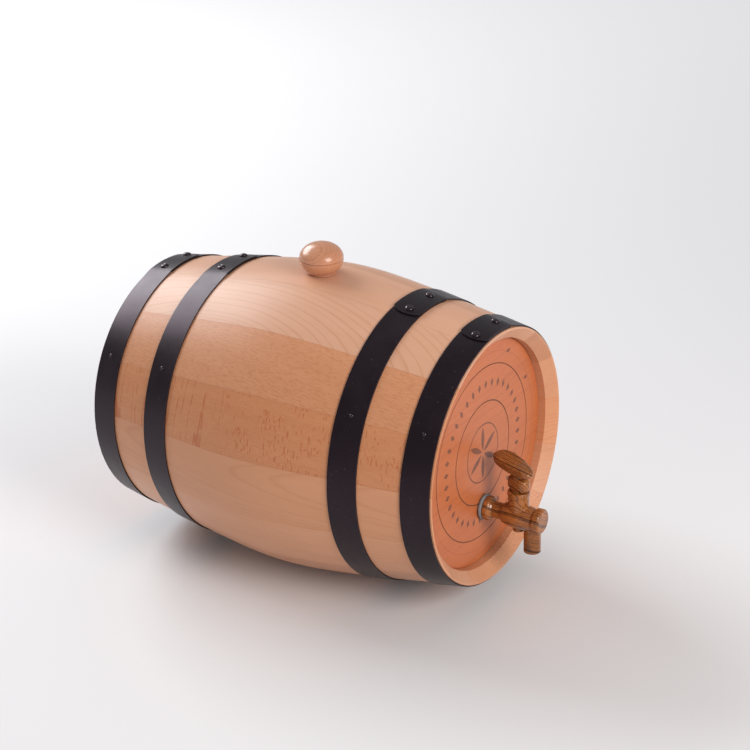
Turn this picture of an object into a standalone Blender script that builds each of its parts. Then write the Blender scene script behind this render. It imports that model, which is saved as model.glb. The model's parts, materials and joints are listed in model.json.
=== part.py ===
"""A small wooden cask lying on its side: bent staves, two grooved-in heads,
riveted iron hoops, a turned bung and a wooden tap with a turning key.

Metres, +Z up. The cask's axis runs along Y and the tapped head faces -Y.
The origin is under the middle of the whole object, on the surface it lies on.
Angles round the cask are measured from +Z towards +X.
"""
import math

import bmesh
import bpy
from mathutils import Matrix, Vector

# Cask body
CASK_LENGTH = 0.270
BILGE_RADIUS = 0.1056
END_RADIUS = 0.0874
BEND_REACH = 0.039
STAVE_COUNT = 15
STAVE_THICKNESS = 0.0103
STAVE_GAP = 0.0002
CHIME_RIM = 0.0012
CHIME_BEVEL_DEPTH = 0.0052

# Heads
HEAD_DEPTH = 0.0117
HEAD_THICKNESS = 0.0090
HEAD_EDGE_CHAMFER = 0.0008
HEAD_BACK_BEVEL = 0.0050
HEAD_TONGUE = 0.0040
CROZE_DEPTH = 0.0030
HEAD_MIDDLE_BOARD = 0.0460
DOWEL_RADIUS = 0.0020
DOWEL_LENGTH = 0.0160
DOWEL_SPREAD = 0.0350

# Hoops, with distances measured inwards from the cask's end
CHIME_HOOP_START = 0.0010
CHIME_HOOP_WIDTH = 0.0196
QUARTER_HOOP_START = 0.0503
QUARTER_HOOP_WIDTH = 0.0198
HOOP_THICKNESS = 0.0007
LAP_CENTRE_ANGLE = 1.0
LAP_HALF_ANGLE = 11.2
LAP_RAMP_ANGLE = 6.0
LAP_GAP = 0.0002
LAP_CORNER = 0.0045
RIVET_SPREAD = 0.0128
RIVET_HEAD_RADIUS = 0.0030
RIVET_HEAD_HEIGHT = 0.0015
RIVET_SHANK_RADIUS = 0.0012
NAIL_FIRST_ANGLE = -58.6
NAIL_COUNT = 2
NAIL_HEAD_RADIUS = 0.0014
NAIL_HEAD_HEIGHT = 0.0006
NAIL_SHANK_RADIUS = 0.0005
NAIL_LENGTH = 0.0060
NAIL_POINT = 0.0010

# Bung
BUNG_KNOB_RADIUS = 0.0150
BUNG_BOWL_HEIGHT = 0.0096
BUNG_DOME_HEIGHT = 0.0104
BUNG_NECK_RADIUS = 0.0090
BUNG_LIP_HEIGHT = 0.0010
BUNG_GROOVE = 0.0004
BUNG_HOLE_RADIUS = 0.0078
BUNG_TAPER = 0.10
BUNG_PLUG_LENGTH = 0.0150

# Tap
TAP_DROP = 0.0400
TAP_BORE_RADIUS = 0.0036
OUTLET_RADIUS = 0.0033
SHANK_RADIUS = 0.0070
SHANK_TAPER = 0.05
SHANK_INSIDE = 0.0080
WASHER_RADIUS = 0.0090
WASHER_THICKNESS = 0.0030
FLANGE_RADIUS = 0.0084
FLANGE_THICKNESS = 0.0045
NECK_RADIUS = 0.0056
NECK_LENGTH = 0.0074
BULGE_RADIUS = 0.0088
BULGE_LENGTH = 0.0240
BULGE_FULLNESS = 0.6
NOSE_NECK_RADIUS = 0.0072
NOSE_RADIUS = 0.0086
NOSE_LENGTH = 0.0064
BOSS_RADIUS = 0.0076
BOSS_HEIGHT = 0.0189
BOSS_LIP = 0.0005
BOSS_LIP_HEIGHT = 0.0036
SPOUT_RADIUS = 0.0058
SPOUT_LENGTH = 0.0240
SPOUT_SETBACK = 0.0080

# Key
KEY_REST_TURN = -17.6
KEY_TOP_RADIUS = 0.0051
KEY_TAPER = 0.04
KEY_TAIL = 0.0020
KEY_PORT_RADIUS = 0.0027
SHOULDER_LENGTH = 0.0166
SHOULDER_WIDTH = 0.0106
SHOULDER_HEIGHT = 0.0100
SHOULDER_ROUNDING = 0.0034
SHOULDER_SQUARENESS = 0.80
KEY_NECK_RADIUS = 0.0038
KEY_NECK_HEIGHT = 0.0024
GRIP_LENGTH = 0.0338
GRIP_OFFSET = 0.0050
GRIP_FAR_WIDTH = 0.0160
GRIP_WAIST_WIDTH = 0.0150
GRIP_NEAR_WIDTH = 0.0122
GRIP_THICKNESS = 0.0076
GRIP_SLOPE = 0.163
GRIP_SQUARENESS = 0.60
GRIP_BLUNTNESS = 3.0
GRIP_LOBE = 0.58
GRIP_TIP_ANGLE = 5.7

# Fits
FIT_GAP = 0.0003
CLOSE_GAP = 0.0001

# Mesh fineness
FACETS_PER_STAVE = 4
STAVE_STATIONS = 12
TURNED_SIDES = 24
BUNG_SIDES = 24
BORE_SIDES = 14
RIVET_SIDES = 12
DOWEL_SIDES = 10
NAIL_SIDES = 8
GRIP_SIDES = 16
GRIP_STATIONS = 14
SHOULDER_SIDES = 24
CURVE_STEPS = 6
DOME_STEPS = 3
RAMP_STEPS = 4
CORNER_STEPS = 3
SHOULDER_STEPS = 3
SMOOTH_ANGLE = math.radians(32.0)

FULL_TURN = 360.0

# Sizes that follow from those above
HALF_LENGTH = CASK_LENGTH / 2.0
STAVE_ANGLE = FULL_TURN / STAVE_COUNT
FACET_ANGLE = STAVE_ANGLE / FACETS_PER_STAVE
END_SLOPE = (BILGE_RADIUS - END_RADIUS) / (math.hypot(HALF_LENGTH, BEND_REACH) - BEND_REACH)
HOOP_START_ANGLE = LAP_CENTRE_ANGLE + LAP_HALF_ANGLE
HOOP_TRAVEL = FULL_TURN + 2.0 * LAP_HALF_ANGLE
HEAD_FACE = HALF_LENGTH - HEAD_DEPTH
HEAD_BACK = HEAD_FACE - HEAD_THICKNESS
AXIS_HEIGHT = BILGE_RADIUS
TAP_FLANGE_START = WASHER_THICKNESS + 2.0 * CLOSE_GAP
BULGE_START = TAP_FLANGE_START + FLANGE_THICKNESS + NECK_LENGTH
KEY_REACH = BULGE_START + BULGE_LENGTH / 2.0
NOSE_START = BULGE_START + BULGE_LENGTH
NOSE_END = NOSE_START + NOSE_LENGTH
SPOUT_REACH = NOSE_END - SPOUT_SETBACK
TAP_PROUD = HEAD_FACE + NOSE_END - HALF_LENGTH
CASK_Y = TAP_PROUD / 2.0
SHOULDER_BOTTOM = BOSS_HEIGHT + FIT_GAP
SHOULDER_TOP = SHOULDER_BOTTOM + SHOULDER_HEIGHT
GRIP_MIDDLE = SHOULDER_TOP + KEY_NECK_HEIGHT + GRIP_THICKNESS / 2.0
KEY_FOOT = -BULGE_RADIUS - KEY_TAIL


def outer_radius(y):
    """The staves' outside: straight slopes joined by a bend at the bilge."""
    return BILGE_RADIUS - END_SLOPE * (math.hypot(y, BEND_REACH) - BEND_REACH)


HOWEL_RADIUS = outer_radius(HEAD_FACE) - STAVE_THICKNESS
CROZE_RADIUS = HOWEL_RADIUS + CROZE_DEPTH
CROZE_OUTER = HEAD_FACE - HEAD_EDGE_CHAMFER + FIT_GAP
CROZE_INNER = HEAD_FACE - HEAD_EDGE_CHAMFER - HEAD_TONGUE - FIT_GAP


def clear_scene():
    for old in list(bpy.data.objects):
        bpy.data.objects.remove(old, do_unlink=True)


def material(name, colour, roughness, metallic=0.0):
    mat = bpy.data.materials.new(name)
    mat.use_nodes = True
    shader = mat.node_tree.nodes["Principled BSDF"]
    shader.inputs["Base Color"].default_value = (*colour, 1.0)
    shader.inputs["Roughness"].default_value = roughness
    shader.inputs["Metallic"].default_value = metallic
    mat.diffuse_color = (*colour, 1.0)
    return mat


def finish_mesh(name, bm, mat, parent, location=(0.0, 0.0, 0.0)):
    """Turn a bmesh into a named object with outward faces and smooth round sides."""
    bmesh.ops.recalc_face_normals(bm, faces=bm.faces)
    mesh = bpy.data.meshes.new(name)
    bm.to_mesh(mesh)
    bm.free()
    mesh.shade_smooth()
    mesh.set_sharp_from_angle(angle=SMOOTH_ANGLE)
    mesh.materials.append(mat)
    obj = bpy.data.objects.new(name, mesh)
    bpy.context.scene.collection.objects.link(obj)
    obj.parent = parent
    obj.location = location
    return obj


def empty(name, location, parent=None):
    obj = bpy.data.objects.new(name, None)
    bpy.context.scene.collection.objects.link(obj)
    obj.parent = parent
    obj.location = location
    return obj


def round_point(angle, y, radius):
    """A point at an angle in degrees round the cask's axis."""
    turn = math.radians(angle)
    return Vector((radius * math.sin(turn), y, radius * math.cos(turn)))


def add_loops(bm, rings, closed=False):
    """Skin a run of vertex rings; a ring of one vertex is a point on the axis."""
    count = len(rings)
    last = count if closed else count - 1
    for i in range(last):
        ring = rings[i]
        following = rings[(i + 1) % count]
        sides = max(len(ring), len(following))
        for j in range(sides):
            k = (j + 1) % sides
            corners = [ring[j % len(ring)], ring[k % len(ring)],
                       following[k % len(following)], following[j % len(following)]]
            face = list(dict.fromkeys(corners))
            if len(face) > 2:
                bm.faces.new(face)


def turned(profile, sides, place, closed=False):
    """Turn a profile of (radius, height) points; place maps (radius, angle, height)."""
    bm = bmesh.new()
    rings = []
    for radius, height in profile:
        if radius == 0.0:
            rings.append([bm.verts.new(place(0.0, 0.0, height))])
        else:
            rings.append([bm.verts.new(place(radius, FULL_TURN * j / sides, height))
                          for j in range(sides)])
    add_loops(bm, rings, closed)
    return bm


def dome(radius, base, rise, steps):
    """A quarter ellipse as (radius, height) points, from its edge up to the axis."""
    points = []
    for i in range(steps):
        turn = math.pi / 2.0 * i / steps
        points.append((radius * math.cos(turn), base + rise * math.sin(turn)))
    points.append((0.0, base + rise))
    return points


def about_z(radius, angle, height):
    turn = math.radians(angle)
    return Vector((radius * math.cos(turn), radius * math.sin(turn), height))


def cutter(obj):
    obj.hide_render = True
    obj.display_type = "WIRE"
    return obj


def boolean(obj, other, operation):
    mod = obj.modifiers.new(operation.lower() + "_" + other.name, "BOOLEAN")
    mod.operation = operation
    mod.object = other
    return mod


def block(bm, low, high):
    """Add a box between two corners."""
    size = [high[i] - low[i] for i in range(3)]
    middle = [(high[i] + low[i]) / 2.0 for i in range(3)]
    place = Matrix.Translation(middle) @ Matrix.Diagonal((*size, 1.0))
    bmesh.ops.create_cube(bm, size=1.0, matrix=place)


def peg(bm, start, end, radius, end_radius=None, sides=TURNED_SIDES):
    """Add a round peg between two points, tapered where it has an end radius."""
    end_radius = radius if end_radius is None else end_radius
    run = end - start
    frame = run.to_track_quat("Z", "Y").to_matrix().to_4x4()
    place = Matrix.Translation((start + end) / 2.0) @ frame
    bmesh.ops.create_cone(bm, cap_ends=True, cap_tris=False, segments=sides,
                          radius1=radius, radius2=end_radius, depth=run.length, matrix=place)


# Staves

def bend_stations(reach, steps):
    """Places along the axis from -reach to reach, closest together where the bend is."""
    spread = math.asinh(reach / BEND_REACH)
    return [BEND_REACH * math.sinh(spread * (2.0 * i / steps - 1.0)) for i in range(steps + 1)]


def stave_profile():
    """The lengthwise section of a stave as (y, radius) points, going round once."""
    outside = [(y, outer_radius(y)) for y in bend_stations(HALF_LENGTH, STAVE_STATIONS)]
    tail = [
        (HALF_LENGTH, END_RADIUS - CHIME_RIM),
        (HALF_LENGTH - CHIME_BEVEL_DEPTH, HOWEL_RADIUS),
        (CROZE_OUTER, HOWEL_RADIUS),
        (CROZE_OUTER, CROZE_RADIUS),
        (CROZE_INNER, CROZE_RADIUS),
        (CROZE_INNER, HOWEL_RADIUS),
    ]
    inside_run = bend_stations(HEAD_BACK - HEAD_BACK_BEVEL, STAVE_STATIONS - 2)
    inside = [(y, outer_radius(y) - STAVE_THICKNESS) for y in reversed(inside_run)]
    mirrored = [(-y, radius) for y, radius in reversed(tail)]
    return outside + tail + inside + mirrored


def make_stave(name, centre, profile, mat, parent):
    """Sweep the section across one stave; its sides stand half a gap off the joint."""
    bm = bmesh.new()
    slices = []
    for j in range(FACETS_PER_STAVE + 1):
        ring = []
        for y, radius in profile:
            angle = centre - STAVE_ANGLE / 2.0 + FACET_ANGLE * j
            inset = math.degrees(math.asin(STAVE_GAP / 2.0 / radius))
            if j == 0:
                angle += inset
            if j == FACETS_PER_STAVE:
                angle -= inset
            ring.append(bm.verts.new(round_point(angle, y, radius)))
        slices.append(ring)
    add_loops(bm, slices)
    bm.faces.new(slices[0])
    bm.faces.new(slices[-1])
    return finish_mesh(name, bm, mat, parent)


def make_staves(mat, parent):
    profile = stave_profile()
    staves = []
    for k in range(STAVE_COUNT):
        name = "bung_stave" if k == 0 else f"stave_{k + 1:02d}"
        staves.append(make_stave(name, STAVE_ANGLE * k, profile, mat, parent))
    return staves


def cut_bung_hole(stave, mat, parent):
    top = BILGE_RADIUS + STAVE_THICKNESS
    bottom = BILGE_RADIUS - 2.0 * STAVE_THICKNESS
    bm = bmesh.new()
    peg(bm, Vector((0.0, 0.0, bottom)), Vector((0.0, 0.0, top)),
        bung_hole_radius(bottom), bung_hole_radius(top))
    hole = cutter(finish_mesh("bung_hole_cutter", bm, mat, parent))
    boolean(stave, hole, "DIFFERENCE")


def bung_hole_radius(height):
    """The tapered hole's radius at a height above the cask's axis."""
    return BUNG_HOLE_RADIUS + BUNG_TAPER * (height - BILGE_RADIUS)


# Heads

def head_profile():
    """A head's section as (radius, depth) points, depth going into the cask."""
    rim = HOWEL_RADIUS - FIT_GAP
    tongue = CROZE_RADIUS - FIT_GAP
    tongue_back = HEAD_EDGE_CHAMFER + HEAD_TONGUE
    return [
        (0.0, 0.0),
        (rim - HEAD_EDGE_CHAMFER, 0.0),
        (rim, HEAD_EDGE_CHAMFER),
        (tongue, HEAD_EDGE_CHAMFER),
        (tongue, tongue_back),
        (rim, tongue_back),
        (rim - HEAD_BACK_BEVEL, HEAD_THICKNESS),
        (0.0, HEAD_THICKNESS),
    ]


def head_place(side):
    """Map a head's own radius, angle and depth to the front (-1) or rear (1) end."""
    def place(radius, angle, depth):
        return round_point(angle, side * (HEAD_FACE - depth), radius)
    return place


def dowel_lines():
    """The middle points of the dowels that join the boards, as (x, z)."""
    half = HEAD_MIDDLE_BOARD / 2.0
    return [(x, z) for z in (half, -half) for x in (DOWEL_SPREAD, -DOWEL_SPREAD)]


def make_head(label, side, mat, dowel_mat, parent):
    """Three boards across the head, joined edge to edge by hidden dowels."""
    half = HEAD_MIDDLE_BOARD / 2.0
    reach = CROZE_RADIUS + HEAD_THICKNESS
    seam = FIT_GAP / 2.0
    spans = {
        "upper": (half + seam, reach),
        "middle": (-half + seam, half - seam),
        "lower": (-reach, -half - seam),
    }
    y_middle = side * (HEAD_FACE + HEAD_BACK) / 2.0

    holes = bmesh.new()
    for number, (x, z) in enumerate(dowel_lines(), start=1):
        dowel = bmesh.new()
        middle = Vector((x, y_middle, z))
        half_dowel = Vector((0.0, 0.0, DOWEL_LENGTH / 2.0))
        half_hole = Vector((0.0, 0.0, DOWEL_LENGTH / 2.0 + FIT_GAP))
        peg(dowel, middle - half_dowel, middle + half_dowel, DOWEL_RADIUS, sides=DOWEL_SIDES)
        finish_mesh(f"{label}_head_dowel_{number}", dowel, dowel_mat, parent)
        peg(holes, middle - half_hole, middle + half_hole, DOWEL_RADIUS + FIT_GAP, sides=DOWEL_SIDES)
    hole_cutter = cutter(finish_mesh(label + "_dowel_cutter", holes, dowel_mat, parent))

    boards = {}
    for part, (low, high) in spans.items():
        disc = turned(head_profile(), STAVE_COUNT * FACETS_PER_STAVE, head_place(side))
        board = finish_mesh(f"{label}_head_{part}_board", disc, mat, parent)
        slab = bmesh.new()
        block(slab, (-reach, y_middle - HEAD_THICKNESS, low), (reach, y_middle + HEAD_THICKNESS, high))
        slab_cutter = cutter(finish_mesh(f"{label}_{part}_slab_cutter", slab, mat, parent))
        boolean(board, slab_cutter, "INTERSECT")
        boolean(board, hole_cutter, "DIFFERENCE")
        boards[part] = board
    return boards


def shank_radius(depth):
    """The tap shank's radius at a depth behind the head's face."""
    return SHANK_RADIUS - SHANK_TAPER * depth


def cut_tap_hole(board, mat, parent):
    front = -HEAD_FACE - HEAD_THICKNESS
    back = -HEAD_BACK + HEAD_THICKNESS
    bm = bmesh.new()
    peg(bm, Vector((0.0, front, -TAP_DROP)), Vector((0.0, back, -TAP_DROP)),
        shank_radius(front + HEAD_FACE) + FIT_GAP, shank_radius(back + HEAD_FACE) + FIT_GAP)
    hole = cutter(finish_mesh("tap_hole_cutter", bm, mat, parent))
    boolean(board, hole, "DIFFERENCE")


# Hoops

def lap_end_cut(distance):
    """How far the tongue's edge is drawn in, this far from its rounded end."""
    if distance >= LAP_CORNER:
        return 0.0
    return LAP_CORNER - math.sqrt(LAP_CORNER ** 2 - (LAP_CORNER - distance) ** 2)


def hoop_travels():
    """Where the strip has its bends, as degrees of travel from its inner end.

    The rounded corners of its outer end and the ramp up on to its inner end have
    places of their own. Elsewhere it bends with the wood, over the stave facets.
    """
    marks = {0.0, HOOP_TRAVEL - FULL_TURN, FULL_TURN, HOOP_TRAVEL}
    corner = math.degrees(LAP_CORNER / END_RADIUS)
    for i in range(1, CORNER_STEPS + 1):
        marks.add(HOOP_TRAVEL - corner * (i / CORNER_STEPS) ** 2)
    for i in range(RAMP_STEPS):
        marks.add(FULL_TURN - LAP_RAMP_ANGLE * (1.0 - i / RAMP_STEPS))
    clear_of_marks = FACET_ANGLE / 5.0
    grid = math.floor(HOOP_START_ANGLE / FACET_ANGLE) * FACET_ANGLE
    while grid > HOOP_START_ANGLE - HOOP_TRAVEL:
        travel = HOOP_START_ANGLE - grid
        if all(abs(travel - mark) > clear_of_marks for mark in marks):
            marks.add(travel)
        grid -= FACET_ANGLE
    return sorted(marks)


def lap_lift(travel):
    """How far the strip stands off the wood, after this travel from its inner end."""
    climbed = (travel - FULL_TURN + LAP_RAMP_ANGLE) / LAP_RAMP_ANGLE
    return (HOOP_THICKNESS + LAP_GAP) * min(max(climbed, 0.0), 1.0)


def hoop_radius(y):
    return outer_radius(y) + FIT_GAP


def grid_radius(angle, radius):
    """The radius of the faceted wood at an angle, so that the strip clears its corners."""
    off = math.radians(angle % FACET_ANGLE)
    half = math.radians(FACET_ANGLE / 2.0)
    return radius * math.cos(half) / math.cos(off - half)


def make_hoop(name, near_edge, far_edge, mirrored, mat, parent):
    """A flat strip bent round the slope, its ends lapped under the rivets."""
    low, high = sorted((near_edge, far_edge))
    bm = bmesh.new()
    rings = []
    for travel in hoop_travels():
        angle = HOOP_START_ANGLE - travel
        cut = lap_end_cut(math.radians(HOOP_TRAVEL - travel) * END_RADIUS)
        lift = lap_lift(travel)
        ring = []
        for y, out in ((low + cut, 0), (high - cut, 0), (high - cut, 1), (low + cut, 1)):
            radius = grid_radius(angle, hoop_radius(y)) + lift + out * HOOP_THICKNESS
            seen = 2.0 * LAP_CENTRE_ANGLE - angle if mirrored else angle
            ring.append(bm.verts.new(round_point(seen, y, radius)))
        rings.append(ring)
    add_loops(bm, rings)
    bm.faces.new(rings[0])
    bm.faces.new(rings[-1])
    return finish_mesh(name, bm, mat, parent)


def slope_frame(angle, y):
    """The point on the wood and the outward direction square to its slope."""
    slope = -END_SLOPE * y / math.hypot(y, BEND_REACH)
    outward = round_point(angle, -slope, 1.0)
    return round_point(angle, y, outer_radius(y)), outward.normalized()


def standing(point, outward):
    """Map a fastener's own radius, angle and height to its place on the hoop."""
    frame = outward.to_track_quat("Z", "Y").to_matrix()

    def place(radius, angle, height):
        return point + frame @ about_z(radius, angle, height)
    return place


def make_rivets(label, y, hoop, mat, parent):
    """Two domed rivets in line along the hoop, through both layers of the lap."""
    holes = bmesh.new()
    seat = FIT_GAP + 2.0 * HOOP_THICKNESS + LAP_GAP + CLOSE_GAP
    shank = [(0.0, FIT_GAP), (RIVET_SHANK_RADIUS, FIT_GAP), (RIVET_SHANK_RADIUS, seat)]
    profile = shank + dome(RIVET_HEAD_RADIUS, seat, RIVET_HEAD_HEIGHT, DOME_STEPS)
    spread = math.degrees(RIVET_SPREAD / outer_radius(y))
    for number, turn in enumerate((-spread, spread), start=1):
        point, outward = slope_frame(LAP_CENTRE_ANGLE + turn, y)
        rivet = turned(profile, RIVET_SIDES, standing(point, outward))
        finish_mesh(f"{label}_rivet_{number}", rivet, mat, parent)
        peg(holes, point, point + outward * (seat + RIVET_HEAD_HEIGHT),
            RIVET_SHANK_RADIUS + CLOSE_GAP, sides=RIVET_SIDES)
    hole_cutter = cutter(finish_mesh(label + "_rivet_cutter", holes, mat, parent))
    boolean(hoop, hole_cutter, "DIFFERENCE")


def make_nails(label, y, hoop, staves, mat, parent):
    """Small round-headed nails that keep the hoop from creeping along the staves."""
    holes = bmesh.new()
    seat = FIT_GAP + HOOP_THICKNESS + CLOSE_GAP
    foot = seat - NAIL_LENGTH
    shank = [(0.0, foot), (NAIL_SHANK_RADIUS, foot + NAIL_POINT), (NAIL_SHANK_RADIUS, seat)]
    profile = shank + dome(NAIL_HEAD_RADIUS, seat, NAIL_HEAD_HEIGHT, DOME_STEPS)
    angles = [NAIL_FIRST_ANGLE + FULL_TURN * i / NAIL_COUNT for i in range(NAIL_COUNT)]
    for number, angle in enumerate(angles, start=1):
        point, outward = slope_frame(angle, y)
        nail = turned(profile, NAIL_SIDES, standing(point, outward))
        finish_mesh(f"{label}_nail_{number}", nail, mat, parent)
        peg(holes, point + outward * (foot - CLOSE_GAP), point + outward * (seat + NAIL_HEAD_HEIGHT),
            NAIL_SHANK_RADIUS + CLOSE_GAP, sides=NAIL_SIDES)
    hole_cutter = cutter(finish_mesh(label + "_nail_cutter", holes, mat, parent))
    boolean(hoop, hole_cutter, "DIFFERENCE")
    for angle in angles:
        nailed = staves[round(angle / STAVE_ANGLE) % STAVE_COUNT]
        boolean(nailed, hole_cutter, "DIFFERENCE")


def make_hoops(staves, iron, steel, parent):
    chime_far = CHIME_HOOP_START + CHIME_HOOP_WIDTH
    quarter_far = QUARTER_HOOP_START + QUARTER_HOOP_WIDTH
    runs = {
        "chime": (CHIME_HOOP_START, chime_far),
        "quarter": (QUARTER_HOOP_START, quarter_far),
    }
    for end, side in (("front", -1.0), ("rear", 1.0)):
        for kind, (start, stop) in runs.items():
            label = f"{end}_{kind}"
            near = side * (HALF_LENGTH - start)
            far = side * (HALF_LENGTH - stop)
            hoop = make_hoop(label + "_hoop", near, far, side > 0.0, iron, parent)
            middle = (near + far) / 2.0
            make_rivets(label, middle, hoop, steel, parent)
            make_nails(label, middle, hoop, staves, steel, parent)


# Bung

def bung_profile():
    """The bung's section as (radius, height) points above the bilge."""
    seat = FIT_GAP
    groove = seat + BUNG_BOWL_HEIGHT
    plug_top = bung_hole_radius(BILGE_RADIUS + seat) - FIT_GAP
    plug_foot = bung_hole_radius(BILGE_RADIUS - BUNG_PLUG_LENGTH) - FIT_GAP
    points = [
        (0.0, -BUNG_PLUG_LENGTH),
        (plug_foot - FIT_GAP, -BUNG_PLUG_LENGTH),
        (plug_foot, -BUNG_PLUG_LENGTH + FIT_GAP),
        (plug_top, seat),
        (BUNG_NECK_RADIUS, seat),
        (BUNG_NECK_RADIUS + BUNG_GROOVE, seat + BUNG_LIP_HEIGHT / 2.0),
        (BUNG_NECK_RADIUS, seat + BUNG_LIP_HEIGHT),
    ]
    for i in range(1, CURVE_STEPS + 1):
        turn = math.pi / 2.0 * i / CURVE_STEPS
        radius = BUNG_NECK_RADIUS + (BUNG_KNOB_RADIUS - BUNG_NECK_RADIUS) * math.sin(turn)
        height = BUNG_LIP_HEIGHT + (BUNG_BOWL_HEIGHT - BUNG_LIP_HEIGHT) * (1.0 - math.cos(turn))
        points.append((radius, seat + height))
    points.append((BUNG_KNOB_RADIUS - BUNG_GROOVE, groove + BUNG_GROOVE))
    return points + dome(BUNG_KNOB_RADIUS, groove + 2.0 * BUNG_GROOVE, BUNG_DOME_HEIGHT, CURVE_STEPS)


def make_bung(mat, parent):
    bm = turned(bung_profile(), BUNG_SIDES, about_z)
    return finish_mesh("bung", bm, mat, parent, (0.0, 0.0, BILGE_RADIUS))


# Tap

def tap_profile():
    """The tap body's section as (radius, reach) points, reach going out of the head."""
    inner = -HEAD_THICKNESS - SHANK_INSIDE
    flange_end = TAP_FLANGE_START + FLANGE_THICKNESS
    edge = FLANGE_THICKNESS / 4.0
    points = [
        (0.0, inner),
        (shank_radius(-inner) - FIT_GAP, inner),
        (shank_radius(-inner), inner + FIT_GAP),
        (shank_radius(-TAP_FLANGE_START), TAP_FLANGE_START),
        (FLANGE_RADIUS, TAP_FLANGE_START),
        (FLANGE_RADIUS, flange_end - edge),
        (FLANGE_RADIUS - edge, flange_end),
        (NECK_RADIUS, flange_end + edge),
    ]
    for i in range(CURVE_STEPS + 1):
        share = i / CURVE_STEPS
        foot = NECK_RADIUS + (NOSE_NECK_RADIUS - NECK_RADIUS) * share
        swell = max(math.sin(math.pi * share), 0.0) ** BULGE_FULLNESS
        points.append((foot + (BULGE_RADIUS - foot) * swell, BULGE_START + BULGE_LENGTH * share))
    nose_edge = NOSE_LENGTH / 4.0
    points += [
        (NOSE_RADIUS, NOSE_START + nose_edge),
        (NOSE_RADIUS, NOSE_END - nose_edge),
        (NOSE_RADIUS - nose_edge, NOSE_END),
        (0.0, NOSE_END),
    ]
    return points


def boss_profile():
    """The upright boss round the key, with a lip at its top, as (radius, height) points."""
    stem = BOSS_RADIUS - BOSS_LIP
    lip = BOSS_HEIGHT - BOSS_LIP_HEIGHT
    return [
        (0.0, 0.0),
        (stem, 0.0),
        (stem, lip),
        (BOSS_RADIUS, lip + BOSS_LIP),
        (BOSS_RADIUS, BOSS_HEIGHT - BOSS_LIP),
        (stem, BOSS_HEIGHT),
        (0.0, BOSS_HEIGHT),
    ]


def outwards(radius, angle, reach):
    """Map a tap point's radius, angle and reach to the tap's own frame."""
    return round_point(angle, -reach, radius)


def key_radius(height):
    """The tapered key's radius at a height above the tap's axis."""
    return KEY_TOP_RADIUS - KEY_TAPER * (BOSS_HEIGHT - height)


def make_tap(wood, rubber, parent):
    """The turned body, bored along its length, down its spout and across for the key."""
    tap_axis = empty("tap_axis", (0.0, -HEAD_FACE, -TAP_DROP), parent)
    body = finish_mesh("tap_body", turned(tap_profile(), TURNED_SIDES, outwards), wood, tap_axis)

    key_line = Vector((0.0, -KEY_REACH, 0.0))
    spout_line = Vector((0.0, -SPOUT_REACH, 0.0))
    up = Vector((0.0, 0.0, 1.0))

    stem = turned(boss_profile(), TURNED_SIDES, about_z)
    boss = cutter(finish_mesh("tap_boss_form", stem, wood, tap_axis, key_line))
    added = bmesh.new()
    peg(added, spout_line, spout_line - up * SPOUT_LENGTH, SPOUT_RADIUS)
    spout = cutter(finish_mesh("tap_spout_form", added, wood, tap_axis))
    boolean(body, boss, "UNION")
    boolean(body, spout, "UNION")

    inner = -HEAD_THICKNESS - SHANK_INSIDE
    cut = bmesh.new()
    blind_end = spout_line - Vector((0.0, TAP_BORE_RADIUS + FIT_GAP, 0.0))
    peg(cut, Vector((0.0, -inner + FIT_GAP, 0.0)), blind_end, TAP_BORE_RADIUS, sides=BORE_SIDES)
    flow = cutter(finish_mesh("tap_flow_cutter", cut, wood, tap_axis))
    cut = bmesh.new()
    peg(cut, spout_line, spout_line - up * (SPOUT_LENGTH + FIT_GAP), OUTLET_RADIUS,
        sides=BORE_SIDES)
    outlet = cutter(finish_mesh("tap_outlet_cutter", cut, wood, tap_axis))
    cut = bmesh.new()
    foot = KEY_FOOT - KEY_TAIL
    top = BOSS_HEIGHT + KEY_TAIL
    peg(cut, key_line + up * foot, key_line + up * top, key_radius(foot) + FIT_GAP,
        key_radius(top) + FIT_GAP)
    seat = cutter(finish_mesh("tap_key_cutter", cut, wood, tap_axis))
    for tool in (flow, outlet, seat):
        boolean(body, tool, "DIFFERENCE")

    hole = shank_radius(-WASHER_THICKNESS) + FIT_GAP
    ring = [
        (hole, CLOSE_GAP),
        (WASHER_RADIUS, CLOSE_GAP),
        (WASHER_RADIUS, CLOSE_GAP + WASHER_THICKNESS),
        (hole, CLOSE_GAP + WASHER_THICKNESS),
    ]
    finish_mesh("tap_washer", turned(ring, TURNED_SIDES, outwards, closed=True), rubber, tap_axis)
    return tap_axis


def rounded_section(half_width, half_length, squareness, sides):
    """A closed outline between an ellipse and a rectangle, as (across, along) points."""
    points = []
    for i in range(sides):
        turn = 2.0 * math.pi * i / sides
        across = math.copysign(abs(math.cos(turn)) ** squareness, math.cos(turn))
        along = math.copysign(abs(math.sin(turn)) ** squareness, math.sin(turn))
        points.append((half_width * across, half_length * along))
    return points


def make_shoulder():
    """An upright lozenge, longer along the grip than across it, with rounded edges."""
    rises = []
    for i in range(SHOULDER_STEPS + 1):
        turn = math.pi / 2.0 * i / SHOULDER_STEPS
        inset = SHOULDER_ROUNDING * (1.0 - math.sin(turn))
        rises.append((inset, SHOULDER_ROUNDING * (1.0 - math.cos(turn))))
    levels = [(inset, SHOULDER_BOTTOM + rise) for inset, rise in rises]
    levels += [(inset, SHOULDER_TOP - rise) for inset, rise in reversed(rises)]
    bm = bmesh.new()
    rings = []
    for inset, height in levels:
        outline = rounded_section(SHOULDER_WIDTH / 2.0 - inset, SHOULDER_LENGTH / 2.0 - inset,
                                  SHOULDER_SQUARENESS, SHOULDER_SIDES)
        rings.append([bm.verts.new((x, y, height)) for x, y in outline])
    add_loops(bm, rings)
    bm.faces.new(rings[0])
    bm.faces.new(rings[-1])
    return bm


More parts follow.
